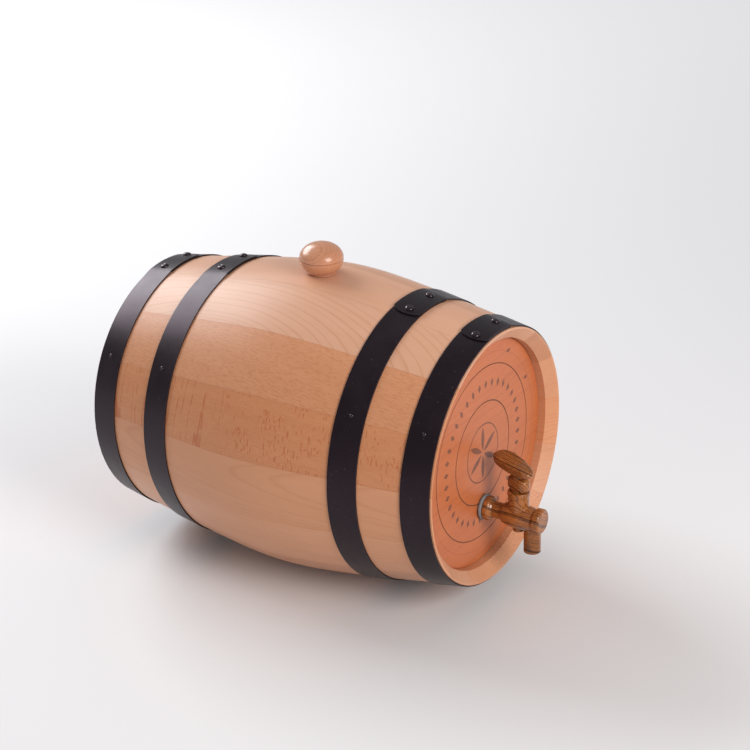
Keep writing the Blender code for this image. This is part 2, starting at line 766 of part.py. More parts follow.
def grip_width(share):
    """The grip's width from its near end (-1) over its waist (0) to its far end (1)."""
    end = GRIP_FAR_WIDTH if share > 0.0 else GRIP_NEAR_WIDTH
    swell = math.sin(math.pi / 2.0 * min(abs(share) / GRIP_LOBE, 1.0)) ** 2
    return GRIP_WAIST_WIDTH + (end - GRIP_WAIST_WIDTH) * swell


def make_grip():
    """A waisted paddle with rounded ends, rising a little towards the head."""
    bm = bmesh.new()
    rings = []
    first = math.radians(GRIP_TIP_ANGLE)
    for i in range(GRIP_STATIONS + 1):
        share = -math.cos(first + (math.pi - 2.0 * first) * i / GRIP_STATIONS)
        closing = math.sqrt(1.0 - abs(share) ** GRIP_BLUNTNESS)
        along = GRIP_OFFSET + share * GRIP_LENGTH / 2.0
        middle = GRIP_MIDDLE + GRIP_SLOPE * along
        section = rounded_section(grip_width(share) / 2.0 * closing, GRIP_THICKNESS / 2.0 * closing,
                                  GRIP_SQUARENESS, GRIP_SIDES)
        rings.append([bm.verts.new((x, along, middle + z)) for x, z in section])
    add_loops(bm, rings)
    bm.faces.new(rings[0])
    bm.faces.new(rings[-1])
    return bm


def make_key(wood, tap_axis):
    """A tapered plug with a port across it, a rounded shoulder and a paddle grip."""
    spindle = empty("key_spindle", (0.0, -KEY_REACH, 0.0), tap_axis)
    spindle.rotation_euler = (0.0, 0.0, math.radians(KEY_REST_TURN))
    plug = [
        (0.0, KEY_FOOT),
        (key_radius(KEY_FOOT), KEY_FOOT),
        (key_radius(SHOULDER_BOTTOM), SHOULDER_BOTTOM + FIT_GAP),
        (0.0, SHOULDER_BOTTOM + FIT_GAP),
    ]
    key = finish_mesh("tap_key", turned(plug, TURNED_SIDES, about_z), wood, spindle)

    shoulder_form = cutter(finish_mesh("key_shoulder_form", make_shoulder(), wood, spindle))
    neck = bmesh.new()
    peg(neck, Vector((0.0, 0.0, SHOULDER_BOTTOM + SHOULDER_HEIGHT / 2.0)),
        Vector((0.0, 0.0, GRIP_MIDDLE)), KEY_NECK_RADIUS)
    neck_form = cutter(finish_mesh("key_neck_form", neck, wood, spindle))
    grip_form = cutter(finish_mesh("key_grip_form", make_grip(), wood, spindle))

    port = bmesh.new()
    through = Vector((0.0, 2.0 * KEY_TOP_RADIUS, 0.0))
    peg(port, -through, through, KEY_PORT_RADIUS, sides=BORE_SIDES)
    port_cutter = cutter(finish_mesh("key_port_cutter", port, wood, spindle))

    for form in (shoulder_form, neck_form, grip_form):
        boolean(key, form, "UNION")
    boolean(key, port_cutter, "DIFFERENCE")


def main():
    clear_scene()
    stave_wood = material("stave_wood", (0.80, 0.55, 0.36), 0.45)
    head_wood = material("head_wood", (0.72, 0.43, 0.25), 0.45)
    dowel_wood = material("dowel_wood", (0.75, 0.58, 0.38), 0.60)
    hoop_iron = material("hoop_iron", (0.020, 0.020, 0.024), 0.42, 0.6)
    rivet_steel = material("rivet_steel", (0.030, 0.030, 0.034), 0.35, 0.8)
    bung_wood = material("bung_wood", (0.70, 0.42, 0.27), 0.25)
    tap_wood = material("tap_wood", (0.42, 0.22, 0.08), 0.20)
    washer_rubber = material("washer_rubber", (0.30, 0.31, 0.33), 0.60)

    cask = empty("cask_axis", (0.0, CASK_Y, AXIS_HEIGHT))
    staves = make_staves(stave_wood, cask)
    cut_bung_hole(staves[0], stave_wood, cask)
    front = make_head("front", -1.0, head_wood, dowel_wood, cask)
    make_head("rear", 1.0, head_wood, dowel_wood, cask)
    cut_tap_hole(front["lower"], head_wood, cask)
    make_hoops(staves, hoop_iron, rivet_steel, cask)
    make_bung(bung_wood, cask)
    tap_axis = make_tap(tap_wood, washer_rubber, cask)
    make_key(tap_wood, tap_axis)


main()
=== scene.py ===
"""The looks of a small wooden cask: fine staves, heads, hoops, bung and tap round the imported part.

Metres, +Z up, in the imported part's own frame. The cask's axis runs along Y and the tapped head
faces -Y. Angles round the cask are in degrees from +Z towards +X, and "along" is a distance
from the cask's middle towards +Y.
"""
import functools
import json
import math
import random
from dataclasses import dataclass

import bmesh
import bpy
from mathutils import Matrix, Vector


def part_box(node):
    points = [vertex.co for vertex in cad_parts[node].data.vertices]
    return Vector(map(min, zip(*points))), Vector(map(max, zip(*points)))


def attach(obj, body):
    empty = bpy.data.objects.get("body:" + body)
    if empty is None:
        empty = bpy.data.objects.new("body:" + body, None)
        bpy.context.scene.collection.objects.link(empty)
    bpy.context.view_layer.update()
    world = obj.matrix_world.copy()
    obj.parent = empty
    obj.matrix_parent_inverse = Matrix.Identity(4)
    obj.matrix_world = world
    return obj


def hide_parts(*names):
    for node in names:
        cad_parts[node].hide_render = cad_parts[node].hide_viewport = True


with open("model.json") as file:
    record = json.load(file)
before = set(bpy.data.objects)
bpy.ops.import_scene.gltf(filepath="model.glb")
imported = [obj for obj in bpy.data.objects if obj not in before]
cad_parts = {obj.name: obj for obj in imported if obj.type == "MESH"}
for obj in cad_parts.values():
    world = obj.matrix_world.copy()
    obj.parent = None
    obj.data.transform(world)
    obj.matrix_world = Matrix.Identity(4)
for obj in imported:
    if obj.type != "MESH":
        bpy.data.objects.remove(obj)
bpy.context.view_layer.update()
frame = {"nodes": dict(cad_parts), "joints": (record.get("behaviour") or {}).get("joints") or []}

# Cask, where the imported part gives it
STAVE_LOW, STAVE_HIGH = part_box("bung_stave")
CASK_Y = (STAVE_LOW.y + STAVE_HIGH.y) / 2.0
HALF_LENGTH = (STAVE_HIGH.y - STAVE_LOW.y) / 2.0
BOARD_LOW, BOARD_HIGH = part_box("front_head_middle_board")
AXIS_HEIGHT = (BOARD_LOW.z + BOARD_HIGH.z) / 2.0
BILGE_RADIUS = AXIS_HEIGHT
BILGE_TOP = AXIS_HEIGHT + BILGE_RADIUS
HEAD_FACE = CASK_Y - BOARD_LOW.y
HEAD_Y = CASK_Y - HEAD_FACE
HEAD_THICKNESS = BOARD_HIGH.y - BOARD_LOW.y
BOARD_SEAM = (BOARD_HIGH.z - BOARD_LOW.z) / 2.0

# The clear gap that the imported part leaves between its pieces
PACKED_GAP = 0.0003

# Cask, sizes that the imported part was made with
STAVE_COUNT = 15
STAVE_THICKNESS = 0.0103
BEND_REACH = 0.039
CHIME_RIM = 0.0012
CROZE_DEPTH = 0.0030
HEAD_TONGUE = 0.0040
HEAD_CHAMFER = 0.0008
HEAD_BACK_BEVEL = 0.0050
HOOP_STAND_OFF = PACKED_GAP
HOOP_THICKNESS = 0.0007
LAP_GAP = 0.0002

# The hoops' laps, in degrees round the cask, and the length of their rounded tongues
LAP_CENTRE = 1.0
LAP_HALF = 11.2
LAP_RAMP = 6.0
LAP_TIP = 0.0046

# The staves' inner end bevel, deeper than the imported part's 5.2 mm, as the photograph shows it
CHIME_BEVEL_DEPTH = 0.0064

# Fine joints and edges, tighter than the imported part's gaps
TIGHT_GAP = 0.00003
SNUG = 0.00004
STAVE_EDGE = 0.00010
HOOP_EDGE = 0.00018
SHARP_BOARD_ANGLE = 30.0
SHARP_TURNED_ANGLE = 50.0

# Mesh fineness
STAVE_SLICES = 12
STAVE_STATIONS = 40
INSIDE_STATIONS = 12
HOOP_STEP = 2.0
HOOP_ROWS = 4
TURNED_SIDES = 64
HEAD_SIDES = 150
RIVET_SIDES = 32
NAIL_SIDES = 16
ARC_STEPS = 8
TONGUE_STEPS = 10
BULGE_STEPS = 20
SECTION_POINTS = 40
SHOULDER_POINTS = 48
GRIP_STATIONS = 40
VARNISH_VOXEL = 0.00034
VARNISH_ROUNDS = 2

MILLIMETRES = 1000.0
FULL_TURN = 360.0

# Corners nearer than this along the cask are at one place
SAME_PLACE = 0.00003


def furthest(node, along):
    """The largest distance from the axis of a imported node's corners at one place along it."""
    reach = 0.0
    for corner in frame["nodes"][node].data.vertices:
        if abs(corner.co.y - CASK_Y - along) < SAME_PLACE:
            reach = max(reach, math.hypot(corner.co.x, corner.co.z - AXIS_HEIGHT))
    return reach


END_RADIUS = furthest("stave_08", HALF_LENGTH)
END_SLOPE = (BILGE_RADIUS - END_RADIUS) / (math.hypot(HALF_LENGTH, BEND_REACH) - BEND_REACH)
STAVE_ANGLE = FULL_TURN / STAVE_COUNT


def outer_radius(along):
    """The staves' outside: straight slopes joined by a bend at the bilge."""
    return BILGE_RADIUS - END_SLOPE * (math.hypot(along, BEND_REACH) - BEND_REACH)


HOWEL_RADIUS = outer_radius(HEAD_FACE) - STAVE_THICKNESS


def polar(radius, angle):
    """The sine and cosine sides of a radius at an angle in degrees."""
    turn = math.radians(angle)
    return radius * math.sin(turn), radius * math.cos(turn)


def round_point(angle, along, radius):
    """A point at an angle in degrees round the cask's axis."""
    across, up = polar(radius, angle)
    return Vector((across, CASK_Y + along, AXIS_HEIGHT + up))


def round_place(point):
    """A point's angle in degrees round the cask, and its place along it."""
    return math.degrees(math.atan2(point.x, point.z - AXIS_HEIGHT)), point.y - CASK_Y


# Mesh building

def shell(rings, wrap=False, caps=False):
    """Faces between rings of points; a ring of one point is a tip on an axis."""
    bm = bmesh.new()
    rings = [[bm.verts.new(point) for point in ring] for ring in rings]
    count = len(rings)
    for i in range(count if wrap else count - 1):
        ring = rings[i]
        following = rings[(i + 1) % count]
        sides = max(len(ring), len(following))
        for j in range(sides):
            k = (j + 1) % sides
            corners = [ring[j % len(ring)], ring[k % len(ring)],
                       following[k % len(following)], following[j % len(following)]]
            face = list(dict.fromkeys(corners))
            if len(face) > 2:
                bm.faces.new(face)
    if caps:
        bm.faces.new(rings[0])
        bm.faces.new(rings[-1])
    return bm


def turned(profile, place, sides=TURNED_SIDES, wrap=False):
    """Turn a profile of (radius, height) points; place maps (radius, angle, height)."""
    rings = []
    for radius, height in profile:
        steps = 1 if radius == 0.0 else sides
        rings.append([place(radius, FULL_TURN * j / steps, height) for j in range(steps)])
    return shell(rings, wrap)


def upright(y, foot):
    """Map (radius, angle, height) to an upright axis through a foot in the middle plane."""
    def place(radius, angle, height):
        along, across = polar(radius, angle)
        return Vector((across, y + along, foot + height))
    return place


def arc(centre, radii, start, stop, steps=ARC_STEPS):
    """Points of an elliptical arc in a profile, with angles in degrees from the radius axis."""
    points = []
    for i in range(steps + 1):
        rise, reach = polar(1.0, start + (stop - start) * i / steps)
        points.append((centre[0] + radii[0] * reach, centre[1] + radii[1] * rise))
    return points


def put_in_scene(name, data):
    obj = bpy.data.objects.new(name, data)
    bpy.context.scene.collection.objects.link(obj)
    return obj


def make_object(name, bm, *materials):
    bmesh.ops.recalc_face_normals(bm, faces=bm.faces)
    mesh = bpy.data.meshes.new(name)
    bm.to_mesh(mesh)
    bm.free()
    mesh.shade_smooth()
    for material in materials:
        mesh.materials.append(material)
    return put_in_scene(name, mesh)


def peg(name, place, radii, span, material):
    """A round helper between two heights, for a union or a cut."""
    profile = [(0.0, span[0]), (radii[0], span[0]), (radii[1], span[1]), (0.0, span[1])]
    return make_object(name, turned(profile, place), material)


def freeze(obj):
    """Apply an object's modifiers to its mesh."""
    graph = bpy.context.evaluated_depsgraph_get()
    mesh = bpy.data.meshes.new_from_object(obj.evaluated_get(graph), depsgraph=graph)
    old = obj.data
    obj.modifiers.clear()
    obj.data = mesh
    bpy.data.meshes.remove(old)


def boolean(obj, operation, *others):
    """Cut or join with helper objects, one after the other, and take them away."""
    for other in others:
        mod = obj.modifiers.new(operation, "BOOLEAN")
        mod.operation = operation
        mod.object = other
        freeze(obj)
        bpy.data.objects.remove(other, do_unlink=True)


def soften(obj, width, edge_slot=-1):
    """Round the sharp edges, in the material of edge_slot, and keep the faces beside them flat."""
    mod = obj.modifiers.new("soft_edges", "BEVEL")
    mod.width = width
    mod.segments = 2
    mod.limit_method = "ANGLE"
    mod.angle_limit = math.radians(35.0)
    mod.harden_normals = True
    mod.material = edge_slot


def melt(obj):
    """Run the forms of one turned or carved body into each other, as thick varnish does."""
    mod = obj.modifiers.new("melt", "REMESH")
    mod.mode = "VOXEL"
    mod.voxel_size = VARNISH_VOXEL
    mod.use_smooth_shade = True
    mod = obj.modifiers.new("smooth", "SMOOTH")
    mod.factor = 0.5
    mod.iterations = VARNISH_ROUNDS
    freeze(obj)


def finish_piece(obj, body, node):
    """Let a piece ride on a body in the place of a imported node."""
    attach(obj, body)
    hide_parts(node)


# Materials

class Shade:
    """Writes one material's nodes; values are numbers, colours or other nodes' outputs."""

    def __init__(self, name, surface):
        self.material = bpy.data.materials.new(name)
        self.material.use_nodes = True
        self.tree = self.material.node_tree
        self.surface = self.tree.nodes["Principled BSDF"]
        for socket, value in surface.items():
            self.feed(self.surface.inputs[socket], value)
        self.position = self.node("TexCoord").outputs["Object"]

    def feed(self, socket, value):
        if isinstance(value, bpy.types.NodeSocket):
            self.tree.links.new(value, socket)
        elif socket.type == "RGBA":
            socket.default_value = (*value[:3], 1.0)
        else:
            socket.default_value = value

    def node(self, kind, inputs=(), **settings):
        node = self.tree.nodes.new("ShaderNode" + kind)
        for key, value in settings.items():
            setattr(node, key, value)
        for socket, value in dict(inputs).items():
            self.feed(node.inputs[socket], value)
        return node

    def math(self, operation, *values, clamp=False):
        return self.node("Math", enumerate(values), operation=operation, use_clamp=clamp).outputs[0]

    def chain(self, operation, values):
        return functools.reduce(lambda first, second: self.math(operation, first, second), values)

    def add(self, *values):
        return self.chain("ADD", values)

    def times(self, *values):
        return self.chain("MULTIPLY", values)

    def most(self, *values):
        return self.chain("MAXIMUM", values)

    def minus(self, first, second):
        return self.math("SUBTRACT", first, second)

    def apart(self, first, second):
        return self.math("ABSOLUTE", self.minus(first, second))

    def swing(self, noise, width):
        """A noise from 0 to 1 centred on 0, this wide."""
        return self.times(self.minus(noise, 0.5), width)

    def length(self, *values):
        return self.math("SQRT", self.add(*[self.times(value, value) for value in values]))

    def vector(self, x, y, z):
        return self.node("CombineXYZ", {0: x, 1: y, 2: z}).outputs[0]

    def turned_place(self, axis, angle, centre):
        """The surface's position, turned by degrees about an axis through a centre."""
        inputs = {"Vector": self.position, "Center": centre, "Angle": math.radians(angle)}
        return self.node("VectorRotate", inputs, rotation_type=axis).outputs[0]

    def split(self, vector):
        return self.node("SeparateXYZ", {0: vector}).outputs[0:3]

    def noise(self, vector, scale=1.0, detail=2.0, roughness=0.5):
        inputs = {"Vector": vector, "Scale": scale, "Detail": detail, "Roughness": roughness}
        return self.node("TexNoise", inputs).outputs[0]

    def ease(self, value, low, high, to_low=0.0, to_high=1.0):
        """Map a value smoothly from one range to another, held at its ends."""
        inputs = {0: value, 1: low, 2: high, 3: to_low, 4: to_high}
        return self.node("MapRange", inputs, interpolation_type="SMOOTHSTEP").outputs[0]

    def fade(self, value, low, high):
        """Map a value smoothly from 1 to 0 over a range."""
        return self.ease(value, low, high, 1.0, 0.0)

    def mix(self, share, first, second):
        """A colour between two; Mix keeps its colours at inputs 6 and 7 and at output 2."""
        node = self.node("Mix", {0: share}, data_type="RGBA")
        self.feed(node.inputs[6], first)
        self.feed(node.inputs[7], second)
        return node.outputs[2]

    def bump(self, height, depth):
        """Raise the surface by up to a depth in metres, by a height from 0 to 1."""
        node = self.node("Bump", {"Height": height, "Distance": depth, "Strength": 1.0})
        self.feed(self.surface.inputs["Normal"], node.outputs[0])

    def paint(self, colour, roughness):
        self.feed(self.surface.inputs["Base Color"], colour)
        self.feed(self.surface.inputs["Roughness"], roughness)
        return self.material


@dataclass
class Wood:
    """How one board was cut and what it looks like, with lengths in millimetres."""

    light: tuple
    dark: tuple
    pith: tuple = (90.0, 8.0)  # the tree's middle, beside the board's and below its face
    lean: float = 0.0  # how much deeper the pith lies per millimetre along
    spacing: float = 2.2  # of the year rings
    ring: float = 0.35  # strength of the rings
    fibre: float = 0.35  # of the fibres
    patch: float = 0.35  # of the broad patches
    fleck: float = 0.0  # of the short flecks
    fleck_colour: tuple = (0.16, 0.05, 0.02)
    wander: float = 5.0  # how far the rings stray
    seed: float = 0.0
    cross: float = 0.0  # strength of the marks across the grain
    uneven: float = 2.4  # how unevenly the rings lie, in rings
    slant: float = 0.0  # how far the grain runs across per millimetre along


@dataclass
class Layer:
    """One noise in the wood, with its frequency per millimetre (across, along, through)."""

    stretch: tuple
    detail: float
    roughness: float = 0.5
    offset: float = 0.0


WANDER = Layer((0.025, 0.007, 0.02), 3.0)
FIBRES = Layer((3.4, 0.10, 3.4), 3.0, 0.6)
PATCHES = Layer((0.09, 0.012, 0.05), 3.0, 0.55)
TICKS = Layer((1.45, 0.26, 1.45), 1.0, 0.6, 7.0)
SPOTS = Layer((0.11, 0.06, 0.0), 2.0, offset=5.0)
BARS = Layer((0.014, 0.16, 0.0), 0.0, offset=13.0)
NICKS = Layer((0.24, 0.85, 0.0), 0.0, offset=9.0)

# Where in a layer's noise its marks begin and are full
TICK_RANGE = (0.50, 0.63)
BAR_RANGE = (0.014, 0.040)
BAR_SPOTS = (0.40, 0.47)
NICK_RANGE = (0.58, 0.70)
NICK_SPOTS = (0.40, 0.52)

# Along the stave, bars come up towards the rear and nicks go down there to their rest
BAR_PLACES = (0.0, 30.0)
NICK_PLACES = (-5.0, 35.0)
NICK_REST = 0.3

# A year ring from 0 to 1: its dark late wood begins slowly and ends soon
LATE_BEGINS = (0.66, 0.90)
LATE_ENDS = (0.90, 1.0)
RING_STRETCH = 0.16
MEAN_TONE = 0.25
FIBRE_RELIEF = 0.7
RING_RELIEF = 0.3


def grain(s, layer, wood, place):
    """A layer's noise at a place (across, along, depth) in the board."""
    across, along, depth = [s.times(value, stretch) for value, stretch in zip(place, layer.stretch)]
    return s.noise(s.vector(across, along, s.add(depth, wood.seed + layer.offset)), 1.0, layer.detail,
                   layer.roughness)


def year_rings(s, wood, place):
    """The late wood's share, from the distance to the tree's middle."""
    across, along, depth = place
    wander = s.swing(grain(s, WANDER, wood, place), wood.wander * 2.0)
    aside = s.add(s.minus(across, wood.pith[0]), wander)
    below = s.add(depth, wood.pith[1], s.times(along, wood.lean))
    distance = s.length(aside, below)
    uneven = s.noise(s.vector(s.times(distance, RING_STRETCH), wood.seed, 0.0), 1.0, 2.0)
    phase = s.add(s.times(distance, 1.0 / wood.spacing), s.times(uneven, wood.uneven))
    share = s.math("FRACT", phase)
    return s.times(s.ease(share, *LATE_BEGINS), s.fade(share, *LATE_ENDS))


def cross_marks(s, wood, place):
    """Bars and small nicks across the grain, in spots."""
    along = place[1]
    wave = s.apart(grain(s, BARS, wood, place), 0.5)
    spot = grain(s, SPOTS, wood, place)
    bars = s.times(s.fade(wave, *BAR_RANGE), s.ease(spot, *BAR_SPOTS), s.ease(along, *BAR_PLACES))
    nick = s.ease(grain(s, NICKS, wood, place), *NICK_RANGE)
    nicks = s.times(nick, s.ease(spot, *NICK_SPOTS), s.ease(along, *NICK_PLACES, 1.0, NICK_REST))
    return s.most(bars, nicks)


def wood_pattern(s, wood, place):
    """The wood's colour, relief, fibres and patches at a place in the board, in millimetres."""
    late = year_rings(s, wood, place)
    fibre = grain(s, FIBRES, wood, place)
    patch = grain(s, PATCHES, wood, place)
    dark = s.add(s.times(late, wood.ring), s.swing(fibre, wood.fibre * 2.0),
                 s.swing(patch, wood.patch * 2.0))
    colour = s.mix(s.math("ADD", dark, MEAN_TONE, clamp=True), wood.light, wood.dark)
    if wood.fleck > 0.0:
        ticks = s.ease(grain(s, TICKS, wood, place), *TICK_RANGE)
        colour = s.mix(s.times(ticks, wood.fleck), colour, wood.fleck_colour)
    if wood.cross > 0.0:
        colour = s.mix(s.times(cross_marks(s, wood, place), wood.cross), colour, wood.fleck_colour)
    relief = s.minus(s.times(fibre, FIBRE_RELIEF), s.times(late, RING_RELIEF))
    return colour, relief, fibre, patch


SATIN = {"Coat Weight": 0.50, "Coat Roughness": 0.41, "Coat IOR": 1.45, "Specular IOR Level": 0.20}
GLOSS = {"Coat Weight": 0.75, "Coat Roughness": 0.05, "Coat IOR": 1.45, "Specular IOR Level": 0.2}
POLISH = {"Coat Weight": 0.60, "Coat Roughness": 0.23, "Coat IOR": 1.5, "Specular IOR Level": 0.3}

SATIN_ROUGHNESS = 0.40
SATIN_RELIEF = 0.00006
FIBRE_SHEEN = 0.12
PATCH_SHEEN = 0.10


def plain_wood(s, wood, place, roughness=SATIN_ROUGHNESS, relief_depth=SATIN_RELIEF):
    """Bare or coated wood with nothing drawn on it."""
    colour, relief, fibre, patch = wood_pattern(s, wood, place)
    s.bump(relief, relief_depth)
    return s.paint(colour, s.add(s.swing(fibre, FIBRE_SHEEN), s.swing(patch, PATCH_SHEEN), roughness))


def board_place(s, across, along, depth):
    """A place in a board in millimetres, from metres."""
    return [s.times(value, MILLIMETRES) for value in (across, along, depth)]


STAVE_SEED = 100
PEACH = (0.655, 0.345, 0.208)
PEACH_DARK = (0.500, 0.212, 0.100)
# Paler colours for the two top staves, 0 and 14: the wood's own tone with a painted sheen of the light from
# above mixed in
TOP_SHEEN_PEACH = (0.672, 0.368, 0.240)
TOP_SHEEN_PEACH_DARK = (0.530, 0.240, 0.125)
FLECK = (0.44, 0.150, 0.060)
CROSS_MARK = (0.46, 0.122, 0.042)


def toned(colour, tone, warmth=0.0):
    """A colour made lighter or darker by tone, and redder by warmth."""
    red, green, blue = colour
    return (red * tone, green * tone * (1.0 - 0.5 * warmth), blue * tone * (1.0 - warmth))


def stave_material(number, centre, wood):
    """The wood of one stave, in its own coordinates round the cask."""
    s = Shade(f"stave_wood_{number:02d}", SATIN)
    x, y, z = s.split(s.turned_place("Y_AXIS", -centre, (0.0, CASK_Y, AXIS_HEIGHT)))
    up = s.minus(z, AXIS_HEIGHT)
    radius = s.times(s.length(x, up), MILLIMETRES)
    across = s.times(s.math("ARCTAN2", x, up), radius)
    along = s.times(s.minus(y, CASK_Y), MILLIMETRES)
    bend = s.length(along, BEND_REACH * MILLIMETRES)
    crown = (BILGE_RADIUS + END_SLOPE * BEND_REACH) * MILLIMETRES
    depth = s.minus(s.minus(crown, s.times(bend, END_SLOPE)), radius)
    return plain_wood(s, wood, (s.minus(across, s.times(along, wood.slant)), along, depth))


# The staves that the photograph shows best, by their place round the cask from the bung
SEEN_STAVES = {
    # Staves 0 and 14 lie on top, and their paler colours hold a painted sheen
    0: Wood(toned(TOP_SHEEN_PEACH, 1.05), toned(TOP_SHEEN_PEACH_DARK, 1.05), pith=(60.0, 30.0), lean=0.02, spacing=2.6,
            ring=0.14, fibre=0.16, patch=0.20, seed=3.1),
    14: Wood(toned(TOP_SHEEN_PEACH, 1.02), toned(TOP_SHEEN_PEACH_DARK, 1.02), pith=(-45.0, 22.0), lean=-0.43, spacing=4.2,
             ring=0.42, fibre=0.20, patch=0.22, wander=3.0, seed=8.4),
    13: Wood(toned(PEACH, 1.00, 0.26), toned(PEACH_DARK, 0.97, 0.24), pith=(80.0, 10.0), lean=0.02,
             spacing=2.0, ring=0.16, fibre=0.30, patch=0.24, fleck=0.36, fleck_colour=FLECK, seed=5.7,
             slant=0.12),
    12: Wood(toned(PEACH, 0.95, 0.37), toned(PEACH_DARK, 0.90, 0.33), pith=(95.0, 2.0), lean=0.01,
             spacing=1.5, ring=0.26, fibre=0.34, patch=0.34, fleck=0.16, fleck_colour=CROSS_MARK, seed=2.3,
             cross=0.70),
    11: Wood(toned(PEACH, 1.00, 0.20), toned(PEACH_DARK, 1.00, 0.15), pith=(12.0, 34.0), lean=0.05,
             spacing=2.8, ring=0.24, fibre=0.20, patch=0.26, seed=6.9),
    1: Wood(PEACH, PEACH_DARK, pith=(40.0, 18.0), lean=0.05, spacing=3.0, ring=0.26, fibre=0.20, patch=0.26,
            seed=4.2),
}


def stave_wood(place):
    """The look of the stave this many places round from the bung."""
    if place in SEEN_STAVES:
        return SEEN_STAVES[place]
    draw = random.Random(STAVE_SEED + place)
    tone = draw.uniform(0.90, 1.05)
    warmth = draw.uniform(0.0, 0.30)
    pith = (draw.uniform(5.0, 95.0), draw.uniform(4.0, 34.0))
    return Wood(toned(PEACH, tone, warmth), toned(PEACH_DARK, tone, warmth), pith,
                lean=draw.uniform(0.0, 0.08), spacing=draw.uniform(1.8, 3.6),
                ring=draw.uniform(0.16, 0.34), fibre=0.24, patch=0.28, fleck=draw.uniform(0.0, 0.3),
                seed=draw.uniform(0.0, 20.0))


# Staves

def bend_stations(reach, steps):
    """Places from -reach to reach, closest together where the bend is."""
    spread = math.asinh(reach / BEND_REACH)
    return [BEND_REACH * math.sinh(spread * (2.0 * i / steps - 1.0)) for i in range(steps + 1)]


def stave_profile():
    """A stave's lengthwise section as (along, radius), going round once."""
    outside = [(along, outer_radius(along)) for along in bend_stations(HALF_LENGTH, STAVE_STATIONS)]
    groove_out = HEAD_FACE - HEAD_CHAMFER + TIGHT_GAP
    groove_in = HEAD_FACE - HEAD_CHAMFER - HEAD_TONGUE - TIGHT_GAP
    tail = [
        (HALF_LENGTH, END_RADIUS - CHIME_RIM),
        (HALF_LENGTH - CHIME_BEVEL_DEPTH, HOWEL_RADIUS),
        (groove_out, HOWEL_RADIUS),
        (groove_out, HOWEL_RADIUS + CROZE_DEPTH),
        (groove_in, HOWEL_RADIUS + CROZE_DEPTH),
        (groove_in, HOWEL_RADIUS),
    ]
    reach = HEAD_FACE - HEAD_THICKNESS - HEAD_BACK_BEVEL
    inside = [(along, outer_radius(along) - STAVE_THICKNESS)
              for along in reversed(bend_stations(reach, INSIDE_STATIONS))]
    return outside + tail + inside + [(-along, radius) for along, radius in reversed(tail)]


def make_stave(place):
    """Sweep a stave's section over its share of the turn, just clear of its neighbours."""
    centre = STAVE_ANGLE * place
    profile = stave_profile()
    slices = []
    for j in range(STAVE_SLICES + 1):
        angle = centre + STAVE_ANGLE * (j / STAVE_SLICES - 0.5)
        inset = TIGHT_GAP / 2.0 * ((j == 0) - (j == STAVE_SLICES))
        slices.append([round_point(angle + math.degrees(inset / radius), along, radius)
                       for along, radius in profile])
    node = "bung_stave" if place == 0 else f"stave_{place + 1:02d}"
    material = stave_material(place + 1, centre, stave_wood(place))
    stave = make_object(node + "_wood", shell(slices, caps=True), material)
    if place == 0:
        cut_bung_hole(stave, material)
    soften(stave, STAVE_EDGE)
    finish_piece(stave, "cask", node)


BUNG_HOLE_RADIUS = 0.0078
BUNG_TAPER = 0.10


def bung_hole_radius(height):
    """The tapered hole's radius at a height above the bilge."""
    return BUNG_HOLE_RADIUS + BUNG_TAPER * height


above_bilge = upright(CASK_Y, BILGE_TOP)


def cut_bung_hole(stave, material):
    span = (-2.0 * STAVE_THICKNESS, 2.0 * STAVE_THICKNESS)
    radii = [bung_hole_radius(height) for height in span]
    boolean(stave, "DIFFERENCE", peg("bung_hole_tool", above_bilge, radii, span, material))


# Heads

HEAD_COLOURS = ((0.545, 0.156, 0.050), (0.370, 0.084, 0.024))
HEAD_FLECK = (0.30, 0.10, 0.045)
HEAD_ROUGHNESS = 0.42
HEAD_SLANT = 0.08

# The rings turned in the front head, as radius to width
RINGS = {0.0610: 0.00045, 0.0360: 0.00055}
RING_DEPTH = 0.0003

# Its burnt marks: the rings and a faint one outside, a rosette, and a band of lozenges
BURNT = (0.170, 0.062, 0.035)
BURN_FIBRES = (0.2, 0.6)
BURN_STRENGTH = (0.70, 0.95)
BURN_ROUGHNESS = 0.25
BURN_RELIEF = 3.0
RING_BURN = 1.5
FAINT_RING = 0.0694
FAINT_STRENGTH = 0.18
ROSETTE_RADIUS = 0.0205
ROSETTE_PETALS = 6
BURNT_LINE = 0.0009
LINE_CORE = 0.30
LINE_EDGE = 0.75
LOZENGE_RADIUS = 0.0485
LOZENGE_COUNT = 36
LOZENGE_LENGTH = 0.0064
LOZENGE_WIDTH = 0.0040
LOZENGE_EDGE = (0.85, 1.05)

# Two small dark knots in it, wider than high, as (across, up) from its middle
KNOTS = ((0.0349, 0.0609), (0.0592, 0.0317))
KNOT_SIZE = 0.0033
KNOT_CORE = 0.45
KNOT_FLATNESS = 2.2


def head_profile(rings):
    """A head's section as (radius, depth), with fine turned rings in its face."""
    rim = HOWEL_RADIUS - TIGHT_GAP
    tongue = HOWEL_RADIUS + CROZE_DEPTH - TIGHT_GAP
    tongue_back = HEAD_CHAMFER + HEAD_TONGUE
    points = [(0.0, 0.0)]
    for radius in sorted(rings):
        half = rings[radius] / 2.0
        points += [(radius - half, 0.0), (radius - half / 2.0, RING_DEPTH),
                   (radius + half / 2.0, RING_DEPTH), (radius + half, 0.0)]
    points += [
        (rim - HEAD_CHAMFER, 0.0),
        (rim, HEAD_CHAMFER),
        (tongue, HEAD_CHAMFER),
        (tongue, tongue_back),
        (rim, tongue_back),
        (rim - HEAD_BACK_BEVEL, HEAD_THICKNESS),
        (0.0, HEAD_THICKNESS),
    ]
    return points


def head_place(side):
    """Map a head's own radius, angle and depth to the front (-1) or rear (1) end."""
    def place(radius, angle, depth):
        return round_point(angle, side * (HEAD_FACE - depth), radius)
    return place


def round_line(s, radius, ring, width=BURNT_LINE):
    """1 on a round line and 0 away from it, with a soft burnt edge."""
    return s.fade(s.apart(radius, ring), width * LINE_CORE, width * LINE_EDGE)


